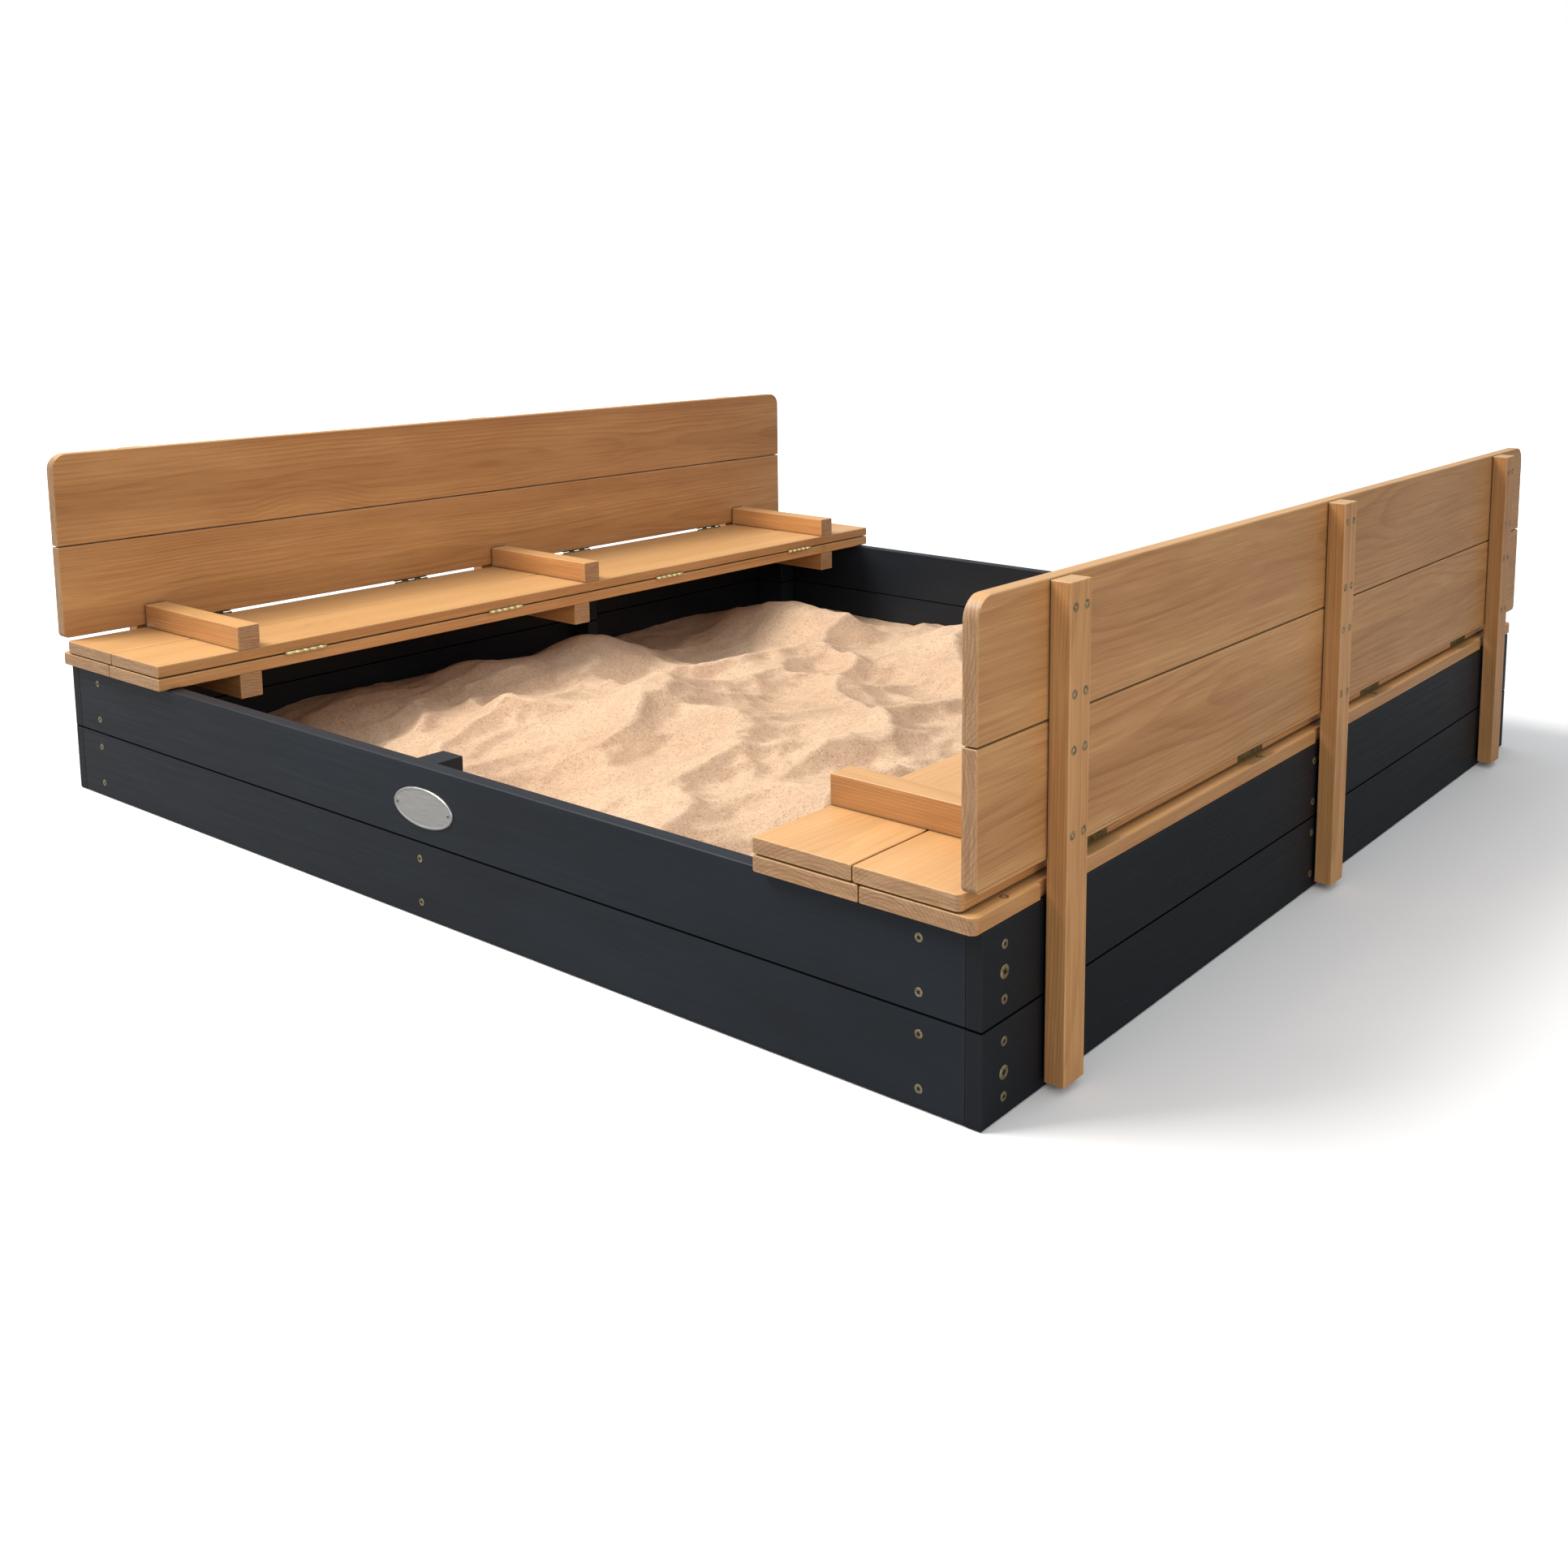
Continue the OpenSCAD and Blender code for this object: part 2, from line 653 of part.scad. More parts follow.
front_board_lower();
front_board_upper();
back_board_lower();
back_board_upper();
left_board_lower();
left_board_upper();
right_board_lower();
right_board_upper();
corner_posts();
middle_posts();
frame_screws();
corner_bolts();
name_plate();
name_plate_rivets();
ground_sheet();
sand();
left_fixed_outer_plank();
left_fixed_inner_plank();
left_fixed_battens();
left_fixed_screws();
left_seat_hinge_lower_leaves();
left_seat_hinge_pins();
left_seat_outer_plank();
left_seat_inner_plank();
left_seat_cleats();
left_seat_screws();
left_seat_hinge_upper_leaves();
left_back_hinge_lower_leaves();
left_back_hinge_pins();
left_back_lower_plank();
left_back_upper_plank();
left_back_battens();
left_back_screws();
left_back_hinge_upper_leaves();
right_fixed_outer_plank();
right_fixed_inner_plank();
right_fixed_battens();
right_fixed_screws();
right_seat_hinge_lower_leaves();
right_seat_hinge_pins();
right_seat_outer_plank();
right_seat_inner_plank();
right_seat_cleats();
right_seat_screws();
right_seat_hinge_upper_leaves();
right_back_hinge_lower_leaves();
right_back_hinge_pins();
right_back_lower_plank();
right_back_upper_plank();
right_back_battens();
right_back_screws();
right_back_hinge_upper_leaves();
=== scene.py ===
"""Looks of a timber sandbox with two folding bench covers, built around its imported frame."""

import json
import math
import zlib

import bpy
import numpy as np
from mathutils import Matrix, Vector


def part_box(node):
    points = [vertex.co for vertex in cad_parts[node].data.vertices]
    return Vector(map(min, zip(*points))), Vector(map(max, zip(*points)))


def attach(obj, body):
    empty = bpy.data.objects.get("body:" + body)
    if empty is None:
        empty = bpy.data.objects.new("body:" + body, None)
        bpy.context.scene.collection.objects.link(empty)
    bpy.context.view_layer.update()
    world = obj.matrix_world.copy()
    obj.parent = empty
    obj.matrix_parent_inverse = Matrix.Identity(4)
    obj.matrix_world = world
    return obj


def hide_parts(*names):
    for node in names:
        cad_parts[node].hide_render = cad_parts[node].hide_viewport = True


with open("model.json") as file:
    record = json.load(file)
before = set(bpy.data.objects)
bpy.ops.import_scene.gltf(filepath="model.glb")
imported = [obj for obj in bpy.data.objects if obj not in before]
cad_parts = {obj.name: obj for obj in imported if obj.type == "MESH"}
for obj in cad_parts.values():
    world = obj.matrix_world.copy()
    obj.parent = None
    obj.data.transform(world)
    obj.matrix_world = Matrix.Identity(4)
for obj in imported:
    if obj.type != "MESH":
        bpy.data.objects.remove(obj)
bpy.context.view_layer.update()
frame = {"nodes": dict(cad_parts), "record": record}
nodes = frame["nodes"]
bodies = frame["record"]["behaviour"]["bodies"]
body_of_node = {node: body for body, members in bodies.items() for node in members}


# ---------- node helpers ----------

def linear(red, green, blue):
    """Scene-linear colour from display values between 0 and 255."""
    def one(value):
        value /= 255
        return value / 12.92 if value <= 0.04045 else ((value + 0.055) / 1.055) ** 2.4
    return (one(red), one(green), one(blue), 1.0)


class Graph:
    """Adds shader nodes to a tree and joins them."""

    def __init__(self, tree):
        self.tree = tree

    def add(self, kind, inputs=None, **settings):
        node = self.tree.nodes.new(kind)
        for name, value in settings.items():
            setattr(node, name, value)
        for key, value in (inputs or {}).items():
            self.put(node.inputs[key], value)
        return node

    def put(self, socket, value):
        if isinstance(value, bpy.types.NodeSocket):
            self.tree.links.new(value, socket)
        else:
            socket.default_value = value

    def math(self, operation, first, second=0.0, third=0.0, clamp=False):
        node = self.add("ShaderNodeMath", {0: first, 1: second, 2: third}, operation=operation)
        node.use_clamp = clamp
        return node.outputs[0]

    def vector(self, operation, first, second=(0, 0, 0)):
        node = self.add("ShaderNodeVectorMath", {0: first, 1: second}, operation=operation)
        return node.outputs[0]

    def split(self, vector):
        return self.add("ShaderNodeSeparateXYZ", {0: vector}).outputs

    def join(self, x, y, z):
        return self.add("ShaderNodeCombineXYZ", {0: x, 1: y, 2: z}).outputs[0]

    def remap(self, value, low, high, to_low=0.0, to_high=1.0, smooth=False):
        node = self.add("ShaderNodeMapRange", {0: value, 1: low, 2: high, 3: to_low, 4: to_high})
        if smooth:
            node.interpolation_type = "SMOOTHSTEP"
        return node.outputs[0]

    def mix(self, factor, first, second, blend="MIX"):
        node = self.add("ShaderNodeMix", data_type="RGBA", blend_type=blend)
        self.put(node.inputs[0], factor)
        self.put(node.inputs[6], first)
        self.put(node.inputs[7], second)
        return node.outputs[2]

    def noise(self, vector, scale, detail=2.0, roughness=0.5):
        node = self.add("ShaderNodeTexNoise", {
            "Vector": vector, "Scale": scale, "Detail": detail, "Roughness": roughness})
        return node.outputs[0]

    def stretched_noise(self, vector, frequencies, detail=2.0, roughness=0.5):
        """Noise with its own frequency along each axis."""
        return self.noise(self.vector("MULTIPLY", vector, frequencies), 1.0, detail, roughness)

    def bump(self, height, strength, distance, normal=None):
        node = self.add("ShaderNodeBump", {
            "Height": height, "Strength": strength, "Distance": distance})
        if normal is not None:
            self.put(node.inputs["Normal"], normal)
        return node.outputs[0]


def new_material(name):
    """Empty material with its graph, its shader and its object coordinates."""
    material = bpy.data.materials.new(name)
    material.use_nodes = True
    material.node_tree.nodes.clear()
    graph = Graph(material.node_tree)
    shader = graph.add("ShaderNodeBsdfPrincipled")
    out = graph.add("ShaderNodeOutputMaterial")
    graph.put(out.inputs[0], shader.outputs[0])
    coordinates = graph.add("ShaderNodeTexCoord")
    return material, graph, shader, coordinates


# ---------- timber ----------

# noise frequencies per metre across the piece, through it and along its grain
KNOTS = (5.0, 0.6, 2.1)
WAVES = (3.0, 3.0, 1.4)
RIPPLES = (26.0, 26.0, 3.2)
FINE_FIBRES = (620.0, 620.0, 11.0)
COARSE_FIBRES = (190.0, 190.0, 4.0)
END_DOTS = (900.0, 900.0, 900.0)
SAW_MARKS = (30.0, 420.0, 60.0)
PATCHES = (9.0, 9.0, 2.6)
BANDS = (16.0, 16.0, 0.4)
RUBBING = (60.0, 60.0, 18.0)
# how far waves, ripples and knots bend the growth rings, in metres
WAVE_DEPTH = 0.045
RIPPLE_DEPTH = 0.003
KNOT_DEPTH = 0.016
EMPTY_KNOT_CELLS = 0.62  # share of the knot cells without a knot
RINGS_PER_METRE = 235.0
RUBBED_WIDTH = (0.0012, 0.0042)  # least and most width of a rubbed edge, in metres
SEED_SHIFT = (3.1, 1.7, 5.3)  # metres that one unit of seed moves the figure


def make_grain_group():
    """Growth rings, fibres, end grain and edges of one solid piece of timber.

    Place is measured from the middle of the piece: X across, Y through, Z along the grain.
    """
    tree = bpy.data.node_groups.new("timber_grain", "ShaderNodeTree")
    for name, kind in (("Place", "Vector"), ("Facing", "Vector"), ("Half", "Vector"),
                       ("Pith", "Vector"), ("Seed", "Float")):
        tree.interface.new_socket(name, in_out="INPUT", socket_type=f"NodeSocket{kind}")
    for name in ("Late", "Fibre", "Patch", "Band", "EndGrain", "Edge", "Knot"):
        tree.interface.new_socket(name, in_out="OUTPUT", socket_type="NodeSocketFloat")
    g = Graph(tree)
    given = g.add("NodeGroupInput").outputs
    result = g.add("NodeGroupOutput").inputs
    place = given["Place"]
    shift = g.vector("SCALE", SEED_SHIFT)
    g.put(shift.node.inputs["Scale"], given["Seed"])
    moved = g.vector("ADD", place, shift)

    # knots push the rings aside and darken their middle
    knot_space = g.vector("MULTIPLY", moved, KNOTS)
    knot_cells = g.add("ShaderNodeTexVoronoi", {"Vector": knot_space, "Scale": 1.0})
    knot_pick = g.split(knot_cells.outputs["Color"])[0]
    knot_here = g.math("GREATER_THAN", knot_pick, EMPTY_KNOT_CELLS)
    knot_distance = knot_cells.outputs["Distance"]
    knot_push = g.math("MULTIPLY", g.remap(knot_distance, 0.28, 0.0, 0.0, 1.0, True), knot_here)
    knot_core = g.math("MULTIPLY", g.remap(knot_distance, 0.055, 0.03, 0.0, 1.0, True), knot_here)

    # growth rings by distance from the pith, bent along the length and darkest late in the year
    wave = g.stretched_noise(moved, WAVES)
    ripple = g.stretched_noise(moved, RIPPLES)
    x, y, _ = g.split(g.vector("SUBTRACT", place, given["Pith"]))
    radius = g.math("SQRT", g.math("ADD", g.math("MULTIPLY", x, x), g.math("MULTIPLY", y, y)))
    radius = g.math("MULTIPLY_ADD", g.math("SUBTRACT", wave, 0.5), WAVE_DEPTH, radius)
    radius = g.math("MULTIPLY_ADD", g.math("SUBTRACT", ripple, 0.5), RIPPLE_DEPTH, radius)
    radius = g.math("MULTIPLY_ADD", knot_push, KNOT_DEPTH, radius)
    phase = g.math("MULTIPLY", radius, RINGS_PER_METRE)
    ring = g.math("FRACT", phase)
    year = g.math("FLOOR", phase)
    rise = g.remap(ring, 0.35, 0.9, 0.0, 1.0, True)
    fall = g.remap(ring, 0.9, 1.0, 1.0, 0.0, True)
    vigour = g.noise(g.join(g.math("MULTIPLY", year, 0.71), given["Seed"], 0.0), 1.0, 0.0)
    late = g.math("MULTIPLY", g.math("MULTIPLY", rise, fall), g.remap(vigour, 0.25, 0.75, 0.35, 1.0))
    g.put(result["Late"], late)

    # fibres are long on the faces and dots on the ends
    facing_along = g.split(given["Facing"])[2]
    end = g.remap(g.math("ABSOLUTE", facing_along), 0.55, 0.85, 0.0, 1.0, True)
    g.put(result["EndGrain"], end)
    fine = g.stretched_noise(moved, FINE_FIBRES, 3.0, 0.65)
    coarse = g.stretched_noise(moved, COARSE_FIBRES, 2.0, 0.6)
    strand = g.math("MULTIPLY_ADD", fine, 0.6, g.math("MULTIPLY", coarse, 0.4))
    dots = g.stretched_noise(moved, END_DOTS, 2.0, 0.7)
    saw = g.stretched_noise(moved, SAW_MARKS, 2.0, 0.6)
    cut = g.math("MULTIPLY_ADD", dots, 0.55, g.math("MULTIPLY", saw, 0.45))
    fibre = g.add("ShaderNodeMix", {0: end, 2: strand, 3: cut}, data_type="FLOAT").outputs[0]
    g.put(result["Fibre"], fibre)
    g.put(result["Patch"], g.stretched_noise(moved, PATCHES, 4.0, 0.6))
    band = g.stretched_noise(moved, BANDS, 1.0)
    g.put(result["Band"], g.remap(band, 0.42, 0.58, 0.0, 1.0, True))
    g.put(result["Knot"], knot_core)

    # closeness to an edge: the second smallest distance to the faces
    gap = g.vector("SUBTRACT", given["Half"], g.vector("ABSOLUTE", place))
    gx, gy, gz = g.split(gap)
    second = g.math("MAXIMUM", g.math("MINIMUM", gx, gy),
                    g.math("MINIMUM", g.math("MAXIMUM", gx, gy), gz))
    rubbing = g.stretched_noise(moved, RUBBING, 3.0, 0.6)
    reach = g.remap(rubbing, 0.3, 0.7, *RUBBED_WIDTH)
    edge = g.math("SUBTRACT", 1.0, g.math("DIVIDE", second, reach), clamp=True)
    g.put(result["Edge"], edge)
    return tree


GRAIN = make_grain_group()
# for each run of the grain, the axes that lie across the piece, through it and along it
GRAIN_ORDER = {"X": (1, 2, 0), "Y": (0, 2, 1), "Z": (1, 0, 2), "upright_Y": (2, 0, 1)}
SOLID_GAP = 0.15  # solids of one node lie further apart than this along Y, in metres
SEEDS = 997
SEEDS_PER_UNIT = 61.0
NEXT_SOLID_SEED = 2.37  # added from one solid of a node to the next
PITH_SIDEWAYS = 0.08  # metres between the piths furthest apart sideways


def share_of(node, purpose):
    """Number from 0 to 1 that is always the same for a node and a purpose."""
    return zlib.crc32((node + purpose).encode()) % 1000 / 1000


def solids_along_y(node):
    """Middles of the separate solids of a node that repeats along Y, and their half length."""
    ys = np.sort([vertex.co.y for vertex in nodes[node].data.vertices])
    breaks = np.nonzero(np.diff(ys) > SOLID_GAP)[0]
    starts = np.concatenate(([0], breaks + 1))
    ends = np.concatenate((breaks, [len(ys) - 1]))
    middles = [(ys[start] + ys[end]) / 2 for start, end in zip(starts, ends)]
    return middles, (ys[ends[0]] - ys[starts[0]]) / 2


def grain_of(graph, coordinates, node, order, pith_depth, pith_spread):
    """Grain group fed with the place inside the node's own solid.

    The pith, the middle of the tree, lies under the piece, at a depth that differs from
    node to node.
    """
    low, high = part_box(node)
    middle = (low + high) / 2
    half = (high - low) / 2
    rows = GRAIN_ORDER[order]
    tree = share_of(node, "pith")
    pith = ((tree - 0.5) * PITH_SIDEWAYS, -pith_depth - pith_spread * tree, 0.0)
    # pieces with the grain along Y never repeat along it
    centres, half_y = ([middle.y], half.y) if "Y" in order else solids_along_y(node)
    y = graph.split(coordinates.outputs["Object"])[1]
    centre_y = centres[0]
    seed = zlib.crc32(node.encode()) % SEEDS / SEEDS_PER_UNIT
    for before, after in zip(centres, centres[1:]):
        past = graph.math("GREATER_THAN", y, (before + after) / 2)
        centre_y = graph.math("MULTIPLY_ADD", past, after - before, centre_y)
        seed = graph.math("MULTIPLY_ADD", past, NEXT_SOLID_SEED, seed)
    centre = graph.join(middle.x, centre_y, middle.z)
    place = graph.split(graph.vector("SUBTRACT", coordinates.outputs["Object"], centre))
    facing = graph.split(coordinates.outputs["Normal"])
    extent = (half.x, half_y, half.z)
    group = graph.add("ShaderNodeGroup", node_tree=GRAIN)
    graph.put(group.inputs["Place"], graph.join(*[place[row] for row in rows]))
    graph.put(group.inputs["Facing"], graph.join(*[facing[row] for row in rows]))
    graph.put(group.inputs["Half"], [extent[row] for row in rows])
    graph.put(group.inputs["Pith"], pith)
    graph.put(group.inputs["Seed"], seed)
    return group.outputs


def crevice_shade(graph, reach=0.008):
    """Painted shade: 1 deep in seams and corners, 0 in the open."""
    shelter = graph.add("ShaderNodeAmbientOcclusion", {"Distance": reach}, samples=4)
    return graph.math("SUBTRACT", 1.0, shelter.outputs["AO"], clamp=True)


STAIN_LIGHT = linear(218, 165, 107)
STAIN_MIDDLE = linear(200, 144, 86)
STAIN_DARK = linear(146, 90, 42)
STAIN_END = linear(146, 112, 80)
STAIN_END_PALE = linear(188, 154, 118)
# colour of the painted light on the faces that look up
STAIN_TOP_LIGHT = linear(240, 196, 132)
# colour of the painted shade in seams and corners
STAIN_CREVICE_SHADE = linear(70, 40, 18)
STAIN_KNOT = linear(98, 58, 28)
STAIN_RUBBED = linear(228, 180, 122)


def stained_timber(node, order, tone=1.0, side_shade=1.0):
    """Honey-brown stained softwood with rings, fibres, end grain and rubbed edges.

    The last argument darkens the faces that look along Y: painted shade.
    """
    material, g, shader, coordinates = new_material(f"stained.{node}")
    grain = grain_of(g, coordinates, node, order, 0.045, 0.06)
    colour = g.mix(g.remap(grain["Patch"], 0.3, 0.7), STAIN_MIDDLE, STAIN_LIGHT)
    colour = g.mix(g.math("MULTIPLY", grain["Band"], 0.26), colour, STAIN_DARK)
    figure = g.remap(grain["Patch"], 0.42, 0.62, 0.45, 0.08, True)
    colour = g.mix(g.math("MULTIPLY", grain["Late"], figure), colour, STAIN_DARK)
    colour = g.mix(g.remap(grain["Fibre"], 0.6, 0.36, 0.0, 0.4), colour, STAIN_DARK)
    end_colour = g.mix(g.remap(grain["Fibre"], 0.42, 0.62), STAIN_END, STAIN_END_PALE)
    end_colour = g.mix(g.math("MULTIPLY", grain["Late"], 0.7), end_colour, STAIN_DARK)
    colour = g.mix(g.math("MULTIPLY", grain["EndGrain"], 0.85), colour, end_colour)
    colour = g.mix(g.math("MULTIPLY", grain["Knot"], 0.8), colour, STAIN_KNOT)
    colour = g.mix(g.math("MULTIPLY", grain["Edge"], 0.3), colour, STAIN_RUBBED)
    # painted shade in seams and corners
    colour = g.mix(g.remap(crevice_shade(g), 0.2, 0.6, 0.0, 0.9), colour, STAIN_CREVICE_SHADE)
    facing = g.split(coordinates.outputs["Normal"])
    # painted light and sheen: the faces that look up are lighter, as if lit from above
    top_light = g.remap(facing[2], 0.7, 0.95, 0.0, 0.35)
    colour = g.mix(top_light, colour, STAIN_TOP_LIGHT)
    # every plank comes from a tree of its own, a little darker or lighter
    tone *= 0.93 + 0.09 * share_of(node, "tree")
    shade = tone
    # painted shade on the faces that look along Y
    if side_shade != 1.0:
        sideways = g.remap(g.math("ABSOLUTE", facing[1]), 0.6, 0.9)
        shade = g.remap(sideways, 0.0, 1.0, tone, tone * side_shade)
    colour = g.mix(1.0, colour, g.join(shade, shade, shade), "MULTIPLY")
    g.put(shader.inputs["Base Color"], colour)
    rough = g.remap(grain["Fibre"], 0.3, 0.7, 0.6, 0.42)
    rough = g.math("MULTIPLY_ADD", grain["EndGrain"], 0.2, rough, clamp=True)
    g.put(shader.inputs["Roughness"], rough)
    height = g.math("MULTIPLY_ADD", grain["Late"], 0.5, grain["Fibre"])
    g.put(shader.inputs["Normal"], g.bump(height, 0.35, 0.0006))
    shader.inputs["Specular IOR Level"].default_value = 0.4
    shader.inputs["Coat Weight"].default_value = 0.5
    shader.inputs["Coat Roughness"].default_value = 0.38
    return material


PAINT = linear(30, 37, 45)
PAINT_DARK = linear(22, 27, 34)
PAINT_WORN = linear(44, 50, 58)
# colour of the painted shade in seams, corners and the groove between the boards
PAINT_CREVICE_SHADE = linear(8, 10, 13)
BOARD_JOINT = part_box("front_board_lower")[1].z
# the dark groove is painted shade
BOARD_GROOVE = (0.0017, 0.0009)  # metres from the joint where the dark groove fades and is full


def painted_timber(node, order, tone=1.0):
    """Matt anthracite paint that lets the grain show through as relief."""
    material, g, shader, coordinates = new_material(f"painted.{node}")
    grain = grain_of(g, coordinates, node, order, 0.04, 0.05)
    colour = g.mix(g.remap(grain["Patch"], 0.3, 0.7), PAINT_DARK, PAINT)
    colour = g.mix(g.remap(grain["Fibre"], 0.62, 0.36, 0.0, 0.25), colour, PAINT_DARK)
    colour = g.mix(g.math("MULTIPLY", grain["Edge"], 0.35), colour, PAINT_WORN)
    # painted shade in seams and corners
    colour = g.mix(g.remap(crevice_shade(g), 0.15, 0.45, 0.0, 1.0), colour, PAINT_CREVICE_SHADE)
    # painted shade: the groove between the upper and the lower boards is darkened as if in shadow, and
    # dull
    height_over_ground = g.split(coordinates.outputs["Object"])[2]
    from_joint = g.math("ABSOLUTE", g.math("SUBTRACT", height_over_ground, BOARD_JOINT))
    groove = g.remap(from_joint, *BOARD_GROOVE, 0.0, 1.0, True)
    colour = g.mix(groove, colour, PAINT_CREVICE_SHADE)
    # tone scales the whole colour; on the side walls it is painted shade
    if tone != 1.0:
        colour = g.mix(1.0, colour, (tone, tone, tone, 1.0), "MULTIPLY")
    g.put(shader.inputs["Base Color"], colour)
    g.put(shader.inputs["Roughness"], g.remap(grain["Fibre"], 0.3, 0.7, 0.6, 0.42))
    height = g.math("MULTIPLY_ADD", grain["Late"], 0.4, grain["Fibre"])
    g.put(shader.inputs["Normal"], g.bump(height, 0.2, 0.0004))
    g.put(shader.inputs["Specular IOR Level"], g.remap(groove, 0.0, 1.0, 0.3, 0.0))
    return material


# ---------- metal, sheet and sand ----------

# noise frequencies per metre along X, Y and Z
SCRATCHES = (2600.0, 300.0, 900.0)
STROKES = (35.0, 900.0, 2600.0)
WEAVE = 2200.0  # radians per metre of the threads of the ground sheet


def worn_metal(name, clean, dull, roughness, metallic=1.0, cloudiness=0.22):
    """Plated metal with cloudy dulling and fine scratches."""
    material, g, shader, coordinates = new_material(name)
    place = coordinates.outputs["Object"]
    cloud = g.noise(place, 160.0, 3.0, 0.6)
    scratch = g.stretched_noise(place, SCRATCHES, 2.0, 0.6)
    g.put(shader.inputs["Base Color"], g.mix(g.remap(cloud, 0.35, 0.7), clean, dull))
    rough = g.remap(cloud, 0.3, 0.7, roughness, roughness + cloudiness)
    g.put(shader.inputs["Roughness"], rough)
    g.put(shader.inputs["Normal"], g.bump(scratch, 0.12, 0.0002))
    shader.inputs["Metallic"].default_value = metallic
    return material


def brushed_plate():
    """Brushed sheet metal with fine strokes along X."""
    material, g, shader, coordinates = new_material("brushed_plate")
    place = coordinates.outputs["Object"]
    strokes = g.stretched_noise(place, STROKES, 3.0, 0.65)
    cloud = g.noise(place, 60.0)
    colour = g.mix(g.remap(strokes, 0.3, 0.7), linear(168, 168, 166), linear(214, 213, 210))
    g.put(shader.inputs["Base Color"], colour)
    g.put(shader.inputs["Roughness"], g.remap(cloud, 0.3, 0.7, 0.34, 0.5))
    g.put(shader.inputs["Normal"], g.bump(strokes, 0.15, 0.0002))
    shader.inputs["Metallic"].default_value = 0.85
    return material


def woven_sheet():
    """Dark woven ground sheet."""
    material, g, shader, coordinates = new_material("woven_sheet")
    x, y, _ = g.split(coordinates.outputs["Object"])
    warp = g.math("SINE", g.math("MULTIPLY", x, WEAVE))
    weft = g.math("SINE", g.math("MULTIPLY", y, WEAVE))
    weave = g.math("MULTIPLY", warp, weft)
    colour = g.mix(g.remap(weave, -1.0, 1.0), linear(26, 26, 27), linear(58, 58, 60))
    g.put(shader.inputs["Base Color"], colour)
    g.put(shader.inputs["Normal"], g.bump(weave, 0.4, 0.0004))
    shader.inputs["Roughness"].default_value = 0.8
    return material


# pale sand, and also the painted light on the crests
SAND_PALE = linear(218, 188, 158)
SAND_MIDDLE = linear(205, 172, 141)
# damp clumps, and also the painted shade on slopes and in hollows
SAND_DAMP_AND_SHADE = linear(176, 143, 117)
# dark grains, and also the painted shade in the dimples
SAND_SPECK_AND_SHADE = linear(140, 108, 84)
SAND_GLINT = linear(232, 210, 186)
SAND_SHADED_FACING = (0.9, 0.1, 0.0)  # level direction of the slopes that get painted shade


def loose_sand():
    """Pale dry play sand: single grains, crumbs, drifts and damp clumps, with painted shade on the
    slopes facing one way, in the hollows and in the dimples, and painted light on the crests.
    """
    material, g, shader, coordinates = new_material("loose_sand")
    place = coordinates.outputs["Object"]
    grains = g.add("ShaderNodeTexVoronoi", {"Vector": place, "Scale": 480.0})
    speck = g.split(grains.outputs["Color"])[0]
    pits = g.noise(place, 150.0, 3.0, 0.65)
    crumbs = g.noise(place, 420.0, 2.0, 0.7)
    clump = g.noise(place, 30.0, 3.0, 0.6)
    drift = g.noise(place, 5.0)
    pointiness = g.add("ShaderNodeNewGeometry").outputs["Pointiness"]
    slope = g.add("ShaderNodeVectorMath", {
        0: coordinates.outputs["Normal"], 1: SAND_SHADED_FACING}, operation="DOT_PRODUCT").outputs["Value"]
    frayed_slope = g.math("MULTIPLY_ADD", g.math("SUBTRACT", clump, 0.5), 0.12, slope)
    # painted shade on the slopes that face the given level direction, away from the light
    slope_shade = g.remap(frayed_slope, 0.02, 0.3, 0.0, 1.0, True)
    # painted light on the crests and painted shade in the hollows, from the pointiness
    crest_light = g.remap(pointiness, 0.505, 0.53, 0.0, 1.0, True)
    hollow_shade = g.remap(pointiness, 0.495, 0.475, 0.0, 1.0, True)
    colour = g.mix(g.remap(drift, 0.3, 0.7), SAND_MIDDLE, SAND_PALE)
    colour = g.mix(g.remap(clump, 0.35, 0.75, 0.0, 0.3), colour, SAND_DAMP_AND_SHADE)
    colour = g.mix(g.math("MULTIPLY", slope_shade, 0.6), colour, SAND_DAMP_AND_SHADE)
    colour = g.mix(g.math("MULTIPLY", hollow_shade, 0.3), colour, SAND_DAMP_AND_SHADE)
    colour = g.mix(g.math("MULTIPLY", crest_light, 0.5), colour, SAND_PALE)
    # darker in the dimples of the bump below: painted shade
    colour = g.mix(g.remap(pits, 0.5, 0.3, 0.0, 0.3), colour, SAND_SPECK_AND_SHADE)
    colour = g.mix(g.remap(speck, 0.9, 0.96, 0.0, 0.5), colour, SAND_SPECK_AND_SHADE)
    colour = g.mix(g.remap(speck, 0.1, 0.03, 0.0, 0.3), colour, SAND_GLINT)
    g.put(shader.inputs["Base Color"], colour)
    shader.inputs["Roughness"].default_value = 0.95
    shader.inputs["Specular IOR Level"].default_value = 0.15
    fine = g.math("MULTIPLY_ADD", grains.outputs["Distance"], 0.5, crumbs)
    lumps = g.bump(clump, 0.3, 0.004)
    dimples = g.bump(pits, 0.6, 0.003, lumps)
    g.put(shader.inputs["Normal"], g.bump(fine, 0.5, 0.0014, dimples))
    return material


# ---------- CAD nodes and their materials ----------

SMOOTH = 30  # degrees; edges sharper than this stay sharp or are bevelled
TIMBER_BEVEL = 0.001
PLANK_BEVEL = 0.0012
WELD_REACH = 0.00001
FLAT_ANGLE = 0.5  # degrees; faces closer than this to one plane are merged


